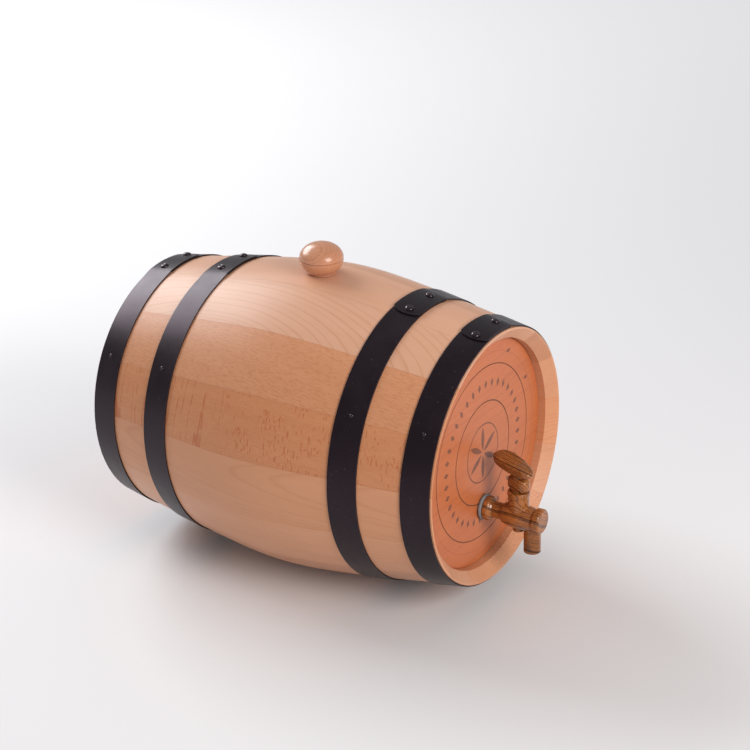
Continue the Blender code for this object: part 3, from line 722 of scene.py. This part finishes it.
def rosette(s, x, z, radius):
    """A circle with compass-drawn petals, each where two of six discs overlap."""
    rim = ROSETTE_RADIUS - BURNT_LINE
    discs = []
    for corner in range(ROSETTE_PETALS):
        across, up = polar(ROSETTE_RADIUS, FULL_TURN / ROSETTE_PETALS * corner)
        distance = s.length(s.minus(x, across), s.minus(z, up))
        discs.append(s.fade(distance, rim, rim + BURNT_LINE / 3.0))
    petals = [s.math("MINIMUM", discs[corner], discs[(corner + 2) % ROSETTE_PETALS])
              for corner in range(ROSETTE_PETALS)]
    return s.most(round_line(s, radius, ROSETTE_RADIUS), *petals)


def lozenge_band(s, x, z, radius):
    share = s.times(s.math("ARCTAN2", x, z), LOZENGE_COUNT / math.tau)
    offset = s.apart(s.math("FRACT", s.add(share, LOZENGE_COUNT)), 0.5)
    around = s.times(offset, math.tau * LOZENGE_RADIUS / LOZENGE_COUNT)
    outward = s.apart(radius, LOZENGE_RADIUS)
    spread = s.add(s.times(around, 2.0 / LOZENGE_WIDTH), s.times(outward, 2.0 / LOZENGE_LENGTH))
    return s.fade(spread, *LOZENGE_EDGE)


def burnt_marks(s, x, z, fibre):
    """Where the front head is burnt, from 0 to 1, in metres from its middle."""
    radius = s.length(x, z)
    lines = [round_line(s, radius, ring, width * RING_BURN) for ring, width in RINGS.items()]
    faint = s.times(round_line(s, radius, FAINT_RING), FAINT_STRENGTH)
    drawn = s.most(rosette(s, x, z, radius), lozenge_band(s, x, z, radius), *lines, faint)
    knots = []
    for knot_x, knot_z in KNOTS:
        spread = s.length(s.minus(x, knot_x), s.times(s.minus(z, knot_z), KNOT_FLATNESS))
        knots.append(s.fade(spread, KNOT_SIZE * KNOT_CORE, KNOT_SIZE))
    return s.most(s.times(drawn, s.ease(fibre, *BURN_FIBRES, *BURN_STRENGTH)), *knots)


def head_material(label, side, decorated):
    """Boards with the grain running across the cask, burnt where they are marked."""
    s = Shade(f"{label}_head_wood", SATIN)
    x, y, z = s.split(s.position)
    height = s.minus(z, AXIS_HEIGHT)
    across = s.times(height, MILLIMETRES)
    along = s.add(s.times(x, MILLIMETRES), s.times(across, HEAD_SLANT))
    depth = s.times(s.minus(y, CASK_Y + side * HEAD_FACE), -side * MILLIMETRES)
    wood = Wood(*HEAD_COLOURS, pith=(140.0, 30.0), lean=0.06, spacing=5.5, ring=0.20, fibre=0.34,
                patch=0.30, fleck=0.16, fleck_colour=HEAD_FLECK, wander=9.0, seed=11.0 + side, uneven=5.0)
    colour, relief, fibre, patch = wood_pattern(s, wood, (across, along, depth))
    roughness = s.add(s.swing(fibre, FIBRE_SHEEN), HEAD_ROUGHNESS)
    if decorated:
        burn = burnt_marks(s, x, height, fibre)
        colour = s.mix(burn, colour, BURNT)
        roughness = s.add(roughness, s.times(burn, BURN_ROUGHNESS))
        relief = s.minus(relief, s.times(burn, BURN_RELIEF))
    s.bump(relief, SATIN_RELIEF)
    return s.paint(colour, roughness)


def make_head(label, side, decorated):
    """Three boards of one head, each the turned head cut to its own slab."""
    material = head_material(label, side, decorated)
    half = BOARD_SEAM + PACKED_GAP / 2.0
    reach = HOWEL_RADIUS + HEAD_THICKNESS
    spans = {"upper": (half, reach), "middle": (-half, half), "lower": (-reach, -half)}
    middle_along = side * (HEAD_FACE - HEAD_THICKNESS / 2.0)
    profile = head_profile(RINGS if decorated else {})
    for part, (low, high) in spans.items():
        node = f"{label}_head_{part}_board"
        board = make_object(node + "_wood", turned(profile, head_place(side), HEAD_SIDES), material)
        slab = bmesh.new()
        size = (2.0 * reach, 2.0 * HEAD_THICKNESS, high - low - TIGHT_GAP)
        place = Vector((0.0, CASK_Y + middle_along, AXIS_HEIGHT + (low + high) / 2.0))
        matrix = Matrix.Translation(place) @ Matrix.Diagonal((*size, 1.0))
        bmesh.ops.create_cube(slab, size=1.0, matrix=matrix)
        boolean(board, "INTERSECT", make_object("slab_tool", slab, material))
        if node == "front_head_lower_board":
            cut_tap_hole(board, material)
        board.data.set_sharp_from_angle(angle=math.radians(SHARP_BOARD_ANGLE))
        finish_piece(board, "cask", node)


# Hoops

HOOP_TRAVEL = FULL_TURN + 2.0 * LAP_HALF
HOOP_START = LAP_CENTRE + LAP_HALF
TONGUE_SHARE = 0.999


def lap_lift(travel):
    """How far the strip stands off the wood, after this travel from its inner end."""
    climbed = (travel - FULL_TURN + LAP_RAMP) / LAP_RAMP
    climbed = min(max(climbed, 0.0), 1.0)
    return (HOOP_THICKNESS + LAP_GAP) * climbed * climbed * (3.0 - 2.0 * climbed)


def tip_cut(travel, half_width):
    """How far the tongue's edges are drawn in near its rounded end."""
    left = math.radians(HOOP_TRAVEL - travel) * END_RADIUS
    if left >= LAP_TIP:
        return 0.0
    return half_width * (1.0 - math.sqrt(1.0 - (1.0 - left / LAP_TIP) ** 2))


def hoop_travels():
    """Degrees of travel along the strip, closest at its rounded tongue, to just short of its tip."""
    tip = math.degrees(LAP_TIP / END_RADIUS)
    plain = HOOP_TRAVEL - tip
    steps = round(plain / HOOP_STEP)
    travels = [plain * i / steps for i in range(steps)]
    travels += [HOOP_TRAVEL - tip * (1.0 - math.sin(math.pi / 2.0 * i / TONGUE_STEPS) * TONGUE_SHARE)
                for i in range(TONGUE_STEPS + 1)]
    return travels


def make_hoop(node, mirrored, iron, edge_highlight_paint):
    """A flat strip bent round the slope, its ends lapped under the rivets."""
    low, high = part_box(node)
    start, stop = low.y - CASK_Y, high.y - CASK_Y
    middle = (start + stop) / 2.0
    half_width = (stop - start) / 2.0
    rings = []
    for travel in hoop_travels():
        angle = HOOP_START - travel
        if mirrored:
            angle = 2.0 * LAP_CENTRE - angle
        half = half_width - tip_cut(travel, half_width)
        lift = lap_lift(travel)
        rows = [middle + half * (2.0 * i / (HOOP_ROWS - 1) - 1.0) for i in range(HOOP_ROWS)]
        inner = [(along, SNUG + lift * (1.0 + HOOP_STAND_OFF / HOOP_THICKNESS)) for along in rows]
        outer = [(along, HOOP_STAND_OFF + HOOP_THICKNESS + lift) for along in reversed(rows)]
        rings.append([round_point(angle, along, outer_radius(along) + off) for along, off in inner + outer])
    hoop = make_object(node + "_strip", shell(rings, caps=True), iron, edge_highlight_paint)
    # The rounded edges take the second material, whose lighter black is a painted highlight
    soften(hoop, HOOP_EDGE, edge_slot=1)
    finish_piece(hoop, "cask", node)


def slope_frame(angle, along):
    """The point on the wood and the turn that stands a fastener square on its slope."""
    slope = -END_SLOPE * along / math.hypot(along, BEND_REACH)
    across, up = polar(1.0, angle)
    outward = Vector((across, -slope, up)).normalized()
    return round_point(angle, along, outer_radius(along)), outward.to_track_quat("Z", "Y").to_matrix()


def fastener(node, profile, sides, material):
    """Turn a fastener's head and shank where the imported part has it."""
    low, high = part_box(node)
    point, turn = slope_frame(*round_place((low + high) / 2.0))

    def place(radius, angle, height):
        y, x = polar(radius, angle)
        return point + turn @ Vector((x, y, height))

    piece = make_object(node + "_head", turned(profile, place, sides), material)
    finish_piece(piece, "cask", node)


RIVET_SHANK = 0.0012
RIVET_RADIUS = 0.0030
RIVET_HEIGHT = 0.0015
RIVET_DIMPLE = 0.0011
DIMPLE_FLOOR = 0.55
DIMPLE_SIDE_HEIGHT = 0.86
DIMPLE_FLOOR_HEIGHT = 0.72
NAIL_SHANK = 0.0005
NAIL_RADIUS = 0.0014
NAIL_HEIGHT = 0.0009
NAIL_LENGTH = 0.0060

# Black paint: rolling streaks a radian round and a metre along, clouds, and specks of dust
PAINT_TINT = (1.0, 0.70, 0.85)
PAINT_RELIEF = 0.00002
GRIT_RELIEF = 0.6
ROLLED_ROUND = 3.0
ROLLED_ALONG = 900.0
STREAK_SHEEN = 0.10
CLOUD_RANGE = (0.35, 0.75)
CLOUD_TONE = 1.7
CLOUD_SHEEN = 0.22
DUST_RANGE = (0.83, 0.88)
DUST = (0.35, 0.34, 0.33)


def rivet_profile():
    """A flattened dome with a small punched dimple, on its shank."""
    seat = HOOP_STAND_OFF + 2.0 * HOOP_THICKNESS + LAP_GAP
    shank = [(0.0, HOOP_STAND_OFF), (RIVET_SHANK, HOOP_STAND_OFF), (RIVET_SHANK, seat)]
    dome = arc((RIVET_DIMPLE, seat), (RIVET_RADIUS - RIVET_DIMPLE, RIVET_HEIGHT), 0.0, 90.0)
    dimple = [(RIVET_DIMPLE * DIMPLE_FLOOR, seat + RIVET_HEIGHT * DIMPLE_SIDE_HEIGHT),
              (0.0, seat + RIVET_HEIGHT * DIMPLE_FLOOR_HEIGHT)]
    return shank + dome + dimple


def nail_profile():
    seat = HOOP_STAND_OFF + HOOP_THICKNESS
    foot = seat - NAIL_LENGTH
    shank = [(0.0, foot), (NAIL_SHANK, foot + 2.0 * NAIL_SHANK), (NAIL_SHANK, seat)]
    dome = arc((0.0, seat), (NAIL_RADIUS, NAIL_HEIGHT), 0.0, 90.0, steps=6)
    return shank + dome[:-1] + [(0.0, seat + NAIL_HEIGHT)]


def black_iron(name, base, roughness, specks, specular):
    """Black satin paint on rolled iron, with a little dust and rubbed places."""
    s = Shade(name, {"Specular IOR Level": specular, "Specular Tint": PAINT_TINT})
    x, y, z = s.split(s.position)
    angle = s.math("ARCTAN2", x, s.minus(z, AXIS_HEIGHT))
    rolled = s.vector(s.times(angle, ROLLED_ROUND), s.times(y, ROLLED_ALONG), 0.0)
    streak = s.noise(rolled, scale=1.0, detail=3.0, roughness=0.6)
    cloud = s.noise(s.position, scale=45.0, detail=4.0, roughness=0.6)
    grit = s.noise(s.position, scale=1800.0, detail=1.0)
    dust = s.ease(s.noise(s.position, scale=1500.0, detail=0.0), *DUST_RANGE)
    colour = s.mix(s.ease(cloud, *CLOUD_RANGE), base, toned(base, CLOUD_TONE))
    colour = s.mix(s.times(dust, specks), colour, DUST)
    s.bump(s.add(s.times(grit, GRIT_RELIEF), s.times(streak, 1.0 - GRIT_RELIEF)), PAINT_RELIEF)
    return s.paint(colour, s.add(roughness, s.swing(cloud, CLOUD_SHEEN), s.swing(streak, STREAK_SHEEN)))


def make_hoops():
    iron = black_iron("hoop_iron", (0.0048, 0.0030, 0.0044), roughness=0.36, specks=0.35, specular=0.32)
    # The hoops' rounded edges are black paint too: their lighter black is a painted highlight where the
    # edges catch the light
    edge = black_iron("hoop_edge_painted_highlight", (0.060, 0.055, 0.060), roughness=0.32, specks=0.2, specular=0.50)
    rivet = black_iron("rivet_steel", (0.008, 0.007, 0.008), roughness=0.14, specks=0.3, specular=0.65)
    for end in ("front", "rear"):
        for kind in ("chime", "quarter"):
            label = f"{end}_{kind}"
            make_hoop(label + "_hoop", end == "rear", iron, edge)
            for number in (1, 2):
                fastener(f"{label}_rivet_{number}", rivet_profile(), RIVET_SIDES, rivet)
                fastener(f"{label}_nail_{number}", nail_profile(), NAIL_SIDES, rivet)


# Bung

BUNG_BOWL = 0.0096
BUNG_BOWL_ARC = 52.0
BUNG_NECK = 0.0098
BUNG_LIP = 0.0006
BUNG_GROOVE = 0.0004
BUNG_NOTCH = 0.00060
BUNG_GROOVE_FORM = ((0.0, 0.5), (BUNG_NOTCH, 0.8), (BUNG_NOTCH, 1.2), (0.0, 1.5))
BUNG_COLOURS = ((0.640, 0.298, 0.170), (0.420, 0.155, 0.070))
BUNG_ROUGHNESS = 0.30
BUNG_RELIEF = 0.00003


def bung_profile():
    """The bung's section as (radius, height above the bilge)."""
    low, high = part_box("bung")
    foot = low.z - BILGE_TOP
    knob = (high.x - low.x) / 2.0
    groove = PACKED_GAP + BUNG_BOWL
    dome = groove + 2.0 * BUNG_GROOVE
    plug_foot = bung_hole_radius(foot) - TIGHT_GAP
    plug_top = bung_hole_radius(0.0) - TIGHT_GAP
    points = [(0.0, foot), (plug_foot - BUNG_GROOVE, foot), (plug_foot, foot + BUNG_GROOVE)]
    points += [(plug_top, -TIGHT_GAP), (plug_top, PACKED_GAP)]
    points += arc((BUNG_NECK, PACKED_GAP + BUNG_LIP / 2.0), (BUNG_GROOVE, BUNG_LIP / 2.0), -90.0, 90.0)
    turn = math.radians(BUNG_BOWL_ARC)
    wide = (knob - BUNG_NECK) / (1.0 - math.cos(turn))
    tall = (BUNG_BOWL - BUNG_LIP) / math.sin(turn)
    points += arc((knob - wide, groove), (wide, tall), -BUNG_BOWL_ARC, 0.0, steps=16)[1:]
    points += [(knob - cut, groove + BUNG_GROOVE * rise) for cut, rise in BUNG_GROOVE_FORM]
    points += arc((0.0, dome), (knob, high.z - BILGE_TOP - dome), 0.0, 90.0, steps=20)[:-1]
    return points + [(0.0, high.z - BILGE_TOP)]


def bung_material():
    """Varnished wood turned with its grain lying along the cask."""
    s = Shade("bung_wood", POLISH)
    x, y, z = s.split(s.position)
    place = board_place(s, x, s.minus(y, CASK_Y), s.minus(z, BILGE_TOP))
    wood = Wood(*BUNG_COLOURS, pith=(20.0, 26.0), lean=0.10, spacing=1.6, ring=0.34, fibre=0.26,
                patch=0.26, fleck=0.15, wander=2.0, seed=15.0)
    return plain_wood(s, wood, place, BUNG_ROUGHNESS, BUNG_RELIEF)


def make_bung():
    bung = make_object("bung_turned", turned(bung_profile(), above_bilge), bung_material())
    bung.data.set_sharp_from_angle(angle=math.radians(SHARP_TURNED_ANGLE))
    finish_piece(bung, "bung", "bung")


# Tap

KEY_JOINT = next(joint for joint in frame["joints"] if joint["name"] == "tap_key_turn")
TAP_HEIGHT = KEY_JOINT["pos_m"][2]
KEY_REACH = HEAD_Y - KEY_JOINT["pos_m"][1]
KEY_Y = HEAD_Y - KEY_REACH
KEY_REST_TURN = -17.6
SHANK_RADIUS = 0.0070
SHANK_TAPER = 0.05
SHANK_INSIDE = 0.0080
WASHER_RADIUS = 0.0090
WASHER_THICKNESS = 0.0030
FLANGE_RADIUS = 0.0084
FLANGE_START = 0.0032
FLANGE_THICKNESS = 0.0045
NECK_RADIUS = 0.0056
BULGE_RADIUS = 0.0088
BULGE_LENGTH = 0.0240
BULGE_FULLNESS = 0.6
NOSE_NECK_RADIUS = 0.0072
NOSE_RADIUS = 0.0086
NOSE_LENGTH = 0.0064
BOSS_RADIUS = 0.0076
BOSS_HEIGHT = 0.0189
BOSS_LIP = 0.0005
BOSS_LIP_HEIGHT = 0.0036
SPOUT_RADIUS = 0.0058
SPOUT_LENGTH = 0.0240
SPOUT_SETBACK = 0.0080
TAP_BORE = 0.0036
SPOUT_BORE = 0.92 * TAP_BORE
KEY_TOP_RADIUS = 0.0051
KEY_TAPER = 0.04
KEY_TAIL = 0.0020
KEY_PORT_RADIUS = 0.0027
KEY_PORT_REACH = 0.02
SHOULDER_LENGTH = 0.0166
SHOULDER_WIDTH = 0.0106
SHOULDER_HEIGHT = 0.0100
SHOULDER_ROUNDING = 0.0034
SHOULDER_SQUARENESS = 0.80
KEY_NECK_RADIUS = 0.0038
KEY_NECK_HEIGHT = 0.0024
GRIP_LENGTH = 0.0338
GRIP_OFFSET = 0.0050
GRIP_FAR_WIDTH = 0.0160
GRIP_WAIST_WIDTH = 0.0150
GRIP_NEAR_WIDTH = 0.0122
GRIP_THICKNESS = 0.0076
GRIP_SLOPE = 0.163
GRIP_SQUARENESS = 0.50
GRIP_BLUNTNESS = 3.0
GRIP_LOBE = 0.58
GRIP_TIP_ANGLE = 5.7
FIT_GAP = PACKED_GAP

TAP_COLOURS = ((0.430, 0.143, 0.033), (0.045, 0.013, 0.004))
TAP_FLECK = (0.02, 0.008, 0.003)
TAP_ROUGHNESS = 0.32
TAP_RELIEF = 0.00005

WASHER_COLOURS = ((0.165, 0.160, 0.165), (0.215, 0.208, 0.212))
WASHER_CLOUD = (0.3, 0.7)
WASHER_SHEEN = 0.15
WASHER_ROUGHNESS = 0.50
WASHER_RELIEF = 0.00004


def tap_point(radius, angle, reach):
    """A point at an angle round the tap's axis, this far out of the head."""
    across, up = polar(radius, angle)
    return Vector((across, HEAD_Y - reach, TAP_HEIGHT + up))


round_key = upright(KEY_Y, TAP_HEIGHT)
round_spout = upright(KEY_Y - BULGE_LENGTH / 2.0 - NOSE_LENGTH + SPOUT_SETBACK, TAP_HEIGHT)


def shank_radius(depth):
    """The tapered shank's radius this far behind the head's face."""
    return SHANK_RADIUS - SHANK_TAPER * depth


def cut_tap_hole(board, material):
    span = (-2.0 * HEAD_THICKNESS, HEAD_THICKNESS)
    radii = [shank_radius(-reach) + TIGHT_GAP for reach in span]
    boolean(board, "DIFFERENCE", peg("tap_hole_tool", tap_point, radii, span, material))


def tap_profile():
    """The tap body's section as (radius, reach out of the head)."""
    inner = -HEAD_THICKNESS - SHANK_INSIDE
    flange_end = FLANGE_START + FLANGE_THICKNESS
    edge = FLANGE_THICKNESS / 3.0
    bulge_start = KEY_REACH - BULGE_LENGTH / 2.0
    nose_start = KEY_REACH + BULGE_LENGTH / 2.0
    nose_end = nose_start + NOSE_LENGTH
    points = [
        (0.0, inner),
        (shank_radius(-inner) - FIT_GAP, inner),
        (shank_radius(-inner), inner + FIT_GAP),
        (shank_radius(-FLANGE_START), FLANGE_START),
        (FLANGE_RADIUS - edge / 2.0, FLANGE_START),
    ]
    points += arc((FLANGE_RADIUS - edge, flange_end - 2.0 * edge), (edge, 2.0 * edge), -30.0, 90.0)
    points.append((NECK_RADIUS, flange_end + edge))
    for i in range(BULGE_STEPS + 1):
        share = i / BULGE_STEPS
        foot = NECK_RADIUS + (NOSE_NECK_RADIUS - NECK_RADIUS) * share
        swell = max(math.sin(math.pi * share), 0.0) ** BULGE_FULLNESS
        points.append((foot + (BULGE_RADIUS - foot) * swell, bulge_start + BULGE_LENGTH * share))
    rounding = NOSE_LENGTH / 4.0
    points.append((NOSE_RADIUS, nose_start + rounding))
    points += arc((NOSE_RADIUS - rounding, nose_end - rounding), (rounding, rounding), 0.0, 90.0)
    return points + [(0.0, nose_end)]


def boss_profile():
    """The boss round the key, with a rounded lip at its top, as (radius, height)."""
    stem = BOSS_RADIUS - BOSS_LIP
    middle = BOSS_HEIGHT - BOSS_LIP_HEIGHT / 2.0
    lip = arc((stem, middle), (BOSS_LIP, BOSS_LIP_HEIGHT / 2.0), -90.0, 90.0, steps=12)
    return [(0.0, 0.0), (stem, 0.0)] + lip + [(0.0, BOSS_HEIGHT)]


def varnished_wood(name, turn, **cut):
    """Dark glossy wood with its grain along Y, turned about the key's axis by degrees."""
    wood = Wood(*TAP_COLOURS, patch=0.80, fleck=0.35, fleck_colour=TAP_FLECK, wander=4.0, **cut)
    s = Shade(name, GLOSS)
    x, y, z = s.split(s.turned_place("Z_AXIS", -turn, (0.0, KEY_Y, TAP_HEIGHT)))
    place = board_place(s, x, s.minus(y, KEY_Y), s.minus(TAP_HEIGHT, z))
    return plain_wood(s, wood, place, TAP_ROUGHNESS, TAP_RELIEF)


def make_tap_body():
    """The turned body with its boss and spout, bored from the cask to the spout."""
    material = varnished_wood("tap_wood", 0.0, pith=(9.0, 18.0), lean=0.08, spacing=2.1, ring=0.70,
                              fibre=0.70, seed=21.0, uneven=7.0)
    body = make_object("tap_body_turned", turned(tap_profile(), tap_point), material)
    boss = make_object("boss", turned(boss_profile(), round_key), material)
    spout = peg("spout", round_spout, [SPOUT_RADIUS] * 2, (-SPOUT_LENGTH, 0.0), material)
    outlet = peg("outlet", round_spout, [SPOUT_BORE] * 2, (-SPOUT_LENGTH - FIT_GAP, 0.0), material)
    bore_start = -HEAD_THICKNESS - SHANK_INSIDE - FIT_GAP
    bore = peg("bore", tap_point, [TAP_BORE] * 2, (bore_start, KEY_REACH + BULGE_LENGTH / 2.0), material)
    foot = -BULGE_RADIUS - 2.0 * KEY_TAIL
    top = BOSS_HEIGHT + KEY_TAIL
    seat_radii = [key_radius(foot) + FIT_GAP, key_radius(top) + FIT_GAP]
    seat = peg("key_seat", round_key, seat_radii, (foot, top), material)
    boolean(body, "UNION", boss, spout)
    boolean(body, "DIFFERENCE", outlet, bore, seat)
    melt(body)
    finish_piece(body, "cask", "tap_body")


def washer_rubber():
    s = Shade("washer_rubber", {"Specular IOR Level": 0.35})
    cloud = s.noise(s.position, scale=220.0, detail=3.0)
    colour = s.mix(s.ease(cloud, *WASHER_CLOUD), *WASHER_COLOURS)
    s.bump(s.noise(s.position, scale=2500.0, detail=2.0), WASHER_RELIEF)
    return s.paint(colour, s.add(s.times(cloud, WASHER_SHEEN), WASHER_ROUGHNESS))


def make_washer():
    """A soft washer squeezed between the tap's flange and the head."""
    hole = shank_radius(0.0) + TIGHT_GAP
    side = WASHER_THICKNESS / 2.0
    rim = arc((WASHER_RADIUS - side, side + SNUG), (side, side - SNUG), -90.0, 90.0)
    profile = [(hole, SNUG * 2.0)] + rim + [(hole, WASHER_THICKNESS)]
    washer = make_object("tap_washer_ring", turned(profile, tap_point, wrap=True), washer_rubber())
    washer.data.set_sharp_from_angle(angle=math.radians(SHARP_TURNED_ANGLE))
    finish_piece(washer, "cask", "tap_washer")


def key_radius(height):
    """The tapered key's radius at a height above the tap's axis."""
    return KEY_TOP_RADIUS - KEY_TAPER * (BOSS_HEIGHT - height)


def key_local(x, y, height):
    """A point across and along the grip, turned to where the key rests."""
    turn = math.radians(KEY_REST_TURN)
    return Vector((x * math.cos(turn) - y * math.sin(turn),
                   KEY_Y + x * math.sin(turn) + y * math.cos(turn), TAP_HEIGHT + height))


def through_key(radius, angle, reach):
    """A point round the key's port, which lies along the grip at the tap's height."""
    across, up = polar(radius, angle)
    return key_local(across, reach, up)


def rounded_section(half_width, half_height, squareness, count):
    """A rounded rectangle as (across, up) points."""
    points = []
    for i in range(count):
        turn = math.tau * i / count
        across = math.copysign(abs(math.cos(turn)) ** squareness, math.cos(turn))
        up = math.copysign(abs(math.sin(turn)) ** squareness, math.sin(turn))
        points.append((half_width * across, half_height * up))
    return points


def make_shoulder(bottom, material):
    """An upright lozenge, longer along the grip than across it, with rounded edges."""
    turns = [math.pi / 2.0 * i / ARC_STEPS for i in range(ARC_STEPS + 1)]
    curve = [(SHOULDER_ROUNDING * (1.0 - math.sin(turn)), SHOULDER_ROUNDING * (1.0 - math.cos(turn)))
             for turn in turns]
    levels = [(inset, bottom + rise) for inset, rise in curve]
    levels += [(inset, bottom + SHOULDER_HEIGHT - rise) for inset, rise in reversed(curve)]
    rings = []
    for inset, height in levels:
        outline = rounded_section(SHOULDER_WIDTH / 2.0 - inset, SHOULDER_LENGTH / 2.0 - inset,
                                  SHOULDER_SQUARENESS, SHOULDER_POINTS)
        rings.append([key_local(x, y, height) for x, y in outline])
    return make_object("key_shoulder", shell(rings, caps=True), material)


def grip_width(share):
    """The grip's width from its near end (-1) over its waist (0) to its far end (1)."""
    end = GRIP_FAR_WIDTH if share > 0.0 else GRIP_NEAR_WIDTH
    swell = math.sin(math.pi / 2.0 * min(abs(share) / GRIP_LOBE, 1.0)) ** 2
    return GRIP_WAIST_WIDTH + (end - GRIP_WAIST_WIDTH) * swell


def make_grip(middle, material):
    """A waisted paddle with rounded ends, rising a little towards the head."""
    rings = []
    first = math.radians(GRIP_TIP_ANGLE)
    for i in range(GRIP_STATIONS + 1):
        share = -math.cos(first + (math.pi - 2.0 * first) * i / GRIP_STATIONS)
        closing = math.sqrt(1.0 - abs(share) ** GRIP_BLUNTNESS)
        along = GRIP_OFFSET + share * GRIP_LENGTH / 2.0
        section = rounded_section(grip_width(share) / 2.0 * closing, GRIP_THICKNESS / 2.0 * closing,
                                  GRIP_SQUARENESS, SECTION_POINTS)
        rings.append([key_local(across, along, middle + GRIP_SLOPE * along + up) for across, up in section])
    return make_object("key_grip", shell(rings, caps=True), material)


def make_key():
    """The tapered plug with its port, the shoulder, the neck and the grip, carved as one."""
    material = varnished_wood("tap_key_wood", KEY_REST_TURN, pith=(-16.0, 12.0), lean=0.06, spacing=1.4,
                              ring=0.95, fibre=0.80, seed=27.0, uneven=4.5)
    foot = -BULGE_RADIUS - KEY_TAIL
    shoulder_bottom = BOSS_HEIGHT + FIT_GAP
    shoulder_top = shoulder_bottom + SHOULDER_HEIGHT
    grip_middle = shoulder_top + KEY_NECK_HEIGHT + GRIP_THICKNESS / 2.0
    key = peg("tap_key_carved", round_key, [key_radius(foot), key_radius(shoulder_bottom)],
              (foot, shoulder_bottom + FIT_GAP), material)
    neck = peg("key_neck", round_key, [KEY_NECK_RADIUS] * 2,
               (shoulder_top - SHOULDER_HEIGHT / 2.0, grip_middle), material)
    boolean(key, "UNION", make_shoulder(shoulder_bottom, material), neck, make_grip(grip_middle, material))
    port = peg("key_port", through_key, [KEY_PORT_RADIUS] * 2, (-KEY_PORT_REACH, KEY_PORT_REACH), material)
    boolean(key, "DIFFERENCE", port)
    melt(key)
    finish_piece(key, "tap_key", "tap_key")


# Dowels

DOWEL_COLOURS = ((0.62, 0.42, 0.24), (0.45, 0.27, 0.13))
DOWEL_ROUGHNESS = 0.6


def make_dowels():
    """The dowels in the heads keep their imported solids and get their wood."""
    s = Shade("dowel_wood", {"Specular IOR Level": 0.3})
    x, y, z = s.split(s.position)
    wood = Wood(*DOWEL_COLOURS, seed=31.0)
    material = plain_wood(s, wood, board_place(s, x, z, y), DOWEL_ROUGHNESS)
    for name, node in frame["nodes"].items():
        if "dowel" in name:
            node.data.materials.clear()
            node.data.materials.append(material)


# Camera, floor and light

CAMERA_PLACE = Vector((-1.0526, -0.6960, 0.7181))
CAMERA_RIGHT = Vector((0.5289, -0.8483, -0.0244))
CAMERA_UP = Vector((0.3662, 0.2022, 0.9083))
CAMERA_LENS = 97.72
SENSOR = 36.0


def make_camera():
    data = bpy.data.cameras.new("camera")
    data.lens = CAMERA_LENS
    data.sensor_width = SENSOR
    camera = put_in_scene("camera", data)
    right = CAMERA_RIGHT.normalized()
    back = right.cross(CAMERA_UP).normalized()
    up = back.cross(right)
    turn = Matrix((right, up, back)).transposed().to_4x4()
    camera.matrix_world = Matrix.Translation(CAMERA_PLACE) @ turn
    bpy.context.scene.camera = camera


# The floor begins to glow this near to the cask and glows fully this far out, past the lamps' light
FLOOR_REACH = 40.0
FLOOR_FADE = (0.45, 2.2)
FLOOR_GLOW = 0.38
FLOOR_ROUGHNESS = 0.60
FLOOR_COLOURS = ((0.780, 0.765, 0.775), (0.800, 0.785, 0.795))


def make_floor():
    """A pale floor that stays as pale far from the cask as it is near the lamps."""
    s = Shade("floor", {"Specular IOR Level": 0.10})
    x, y, z = s.split(s.position)
    colour = s.mix(s.noise(s.position, scale=900.0, detail=2.0), *FLOOR_COLOURS)
    s.paint(colour, FLOOR_ROUGHNESS)
    rays = s.node("LightPath").outputs
    seen = s.most(rays["Is Camera Ray"], rays["Is Glossy Ray"], rays["Is Transmission Ray"])
    glow = s.times(s.ease(s.length(x, y), *FLOOR_FADE), FLOOR_GLOW, seen)
    s.feed(s.surface.inputs["Emission Color"], colour)
    s.feed(s.surface.inputs["Emission Strength"], glow)
    bm = bmesh.new()
    bmesh.ops.create_grid(bm, x_segments=1, y_segments=1, size=FLOOR_REACH)
    make_object("floor", bm, s.material)


# Lamps: place, size in metres, power in watts, and colour
LAMPS = {
    "key": ((0.30, 1.45, 1.12), (1.3, 0.85), 28.5, (0.95, 0.98, 1.0)),
    "front": ((-0.45, -1.40, 0.82), (0.7, 0.7), 18.8, (1.0, 0.965, 0.93)),
}
WORLD_COLOUR = (0.92, 0.93, 0.95, 1.0)
WORLD_STRENGTH = 0.40


def area_light(name, place, size, power, colour):
    """A soft lamp that faces the cask's middle."""
    data = bpy.data.lights.new(name, "AREA")
    data.shape = "RECTANGLE"
    data.size, data.size_y = size
    data.energy = power
    data.color = colour
    light = put_in_scene(name, data)
    light.location = place
    towards = Vector((0.0, CASK_Y, AXIS_HEIGHT)) - Vector(place)
    light.rotation_euler = towards.to_track_quat("-Z", "Y").to_euler()


def make_light():
    for name, lamp in LAMPS.items():
        area_light(name, *lamp)
    world = bpy.data.worlds.new("studio")
    world.use_nodes = True
    background = world.node_tree.nodes["Background"]
    background.inputs["Color"].default_value = WORLD_COLOUR
    background.inputs["Strength"].default_value = WORLD_STRENGTH
    bpy.context.scene.world = world


for stave_place in range(STAVE_COUNT):
    make_stave(stave_place)
make_head("front", -1.0, True)
make_head("rear", 1.0, False)
make_hoops()
make_bung()
make_tap_body()
make_washer()
make_key()
make_dowels()
make_camera()
make_floor()
make_light()

bpy.context.scene.view_settings.view_transform = "Standard"
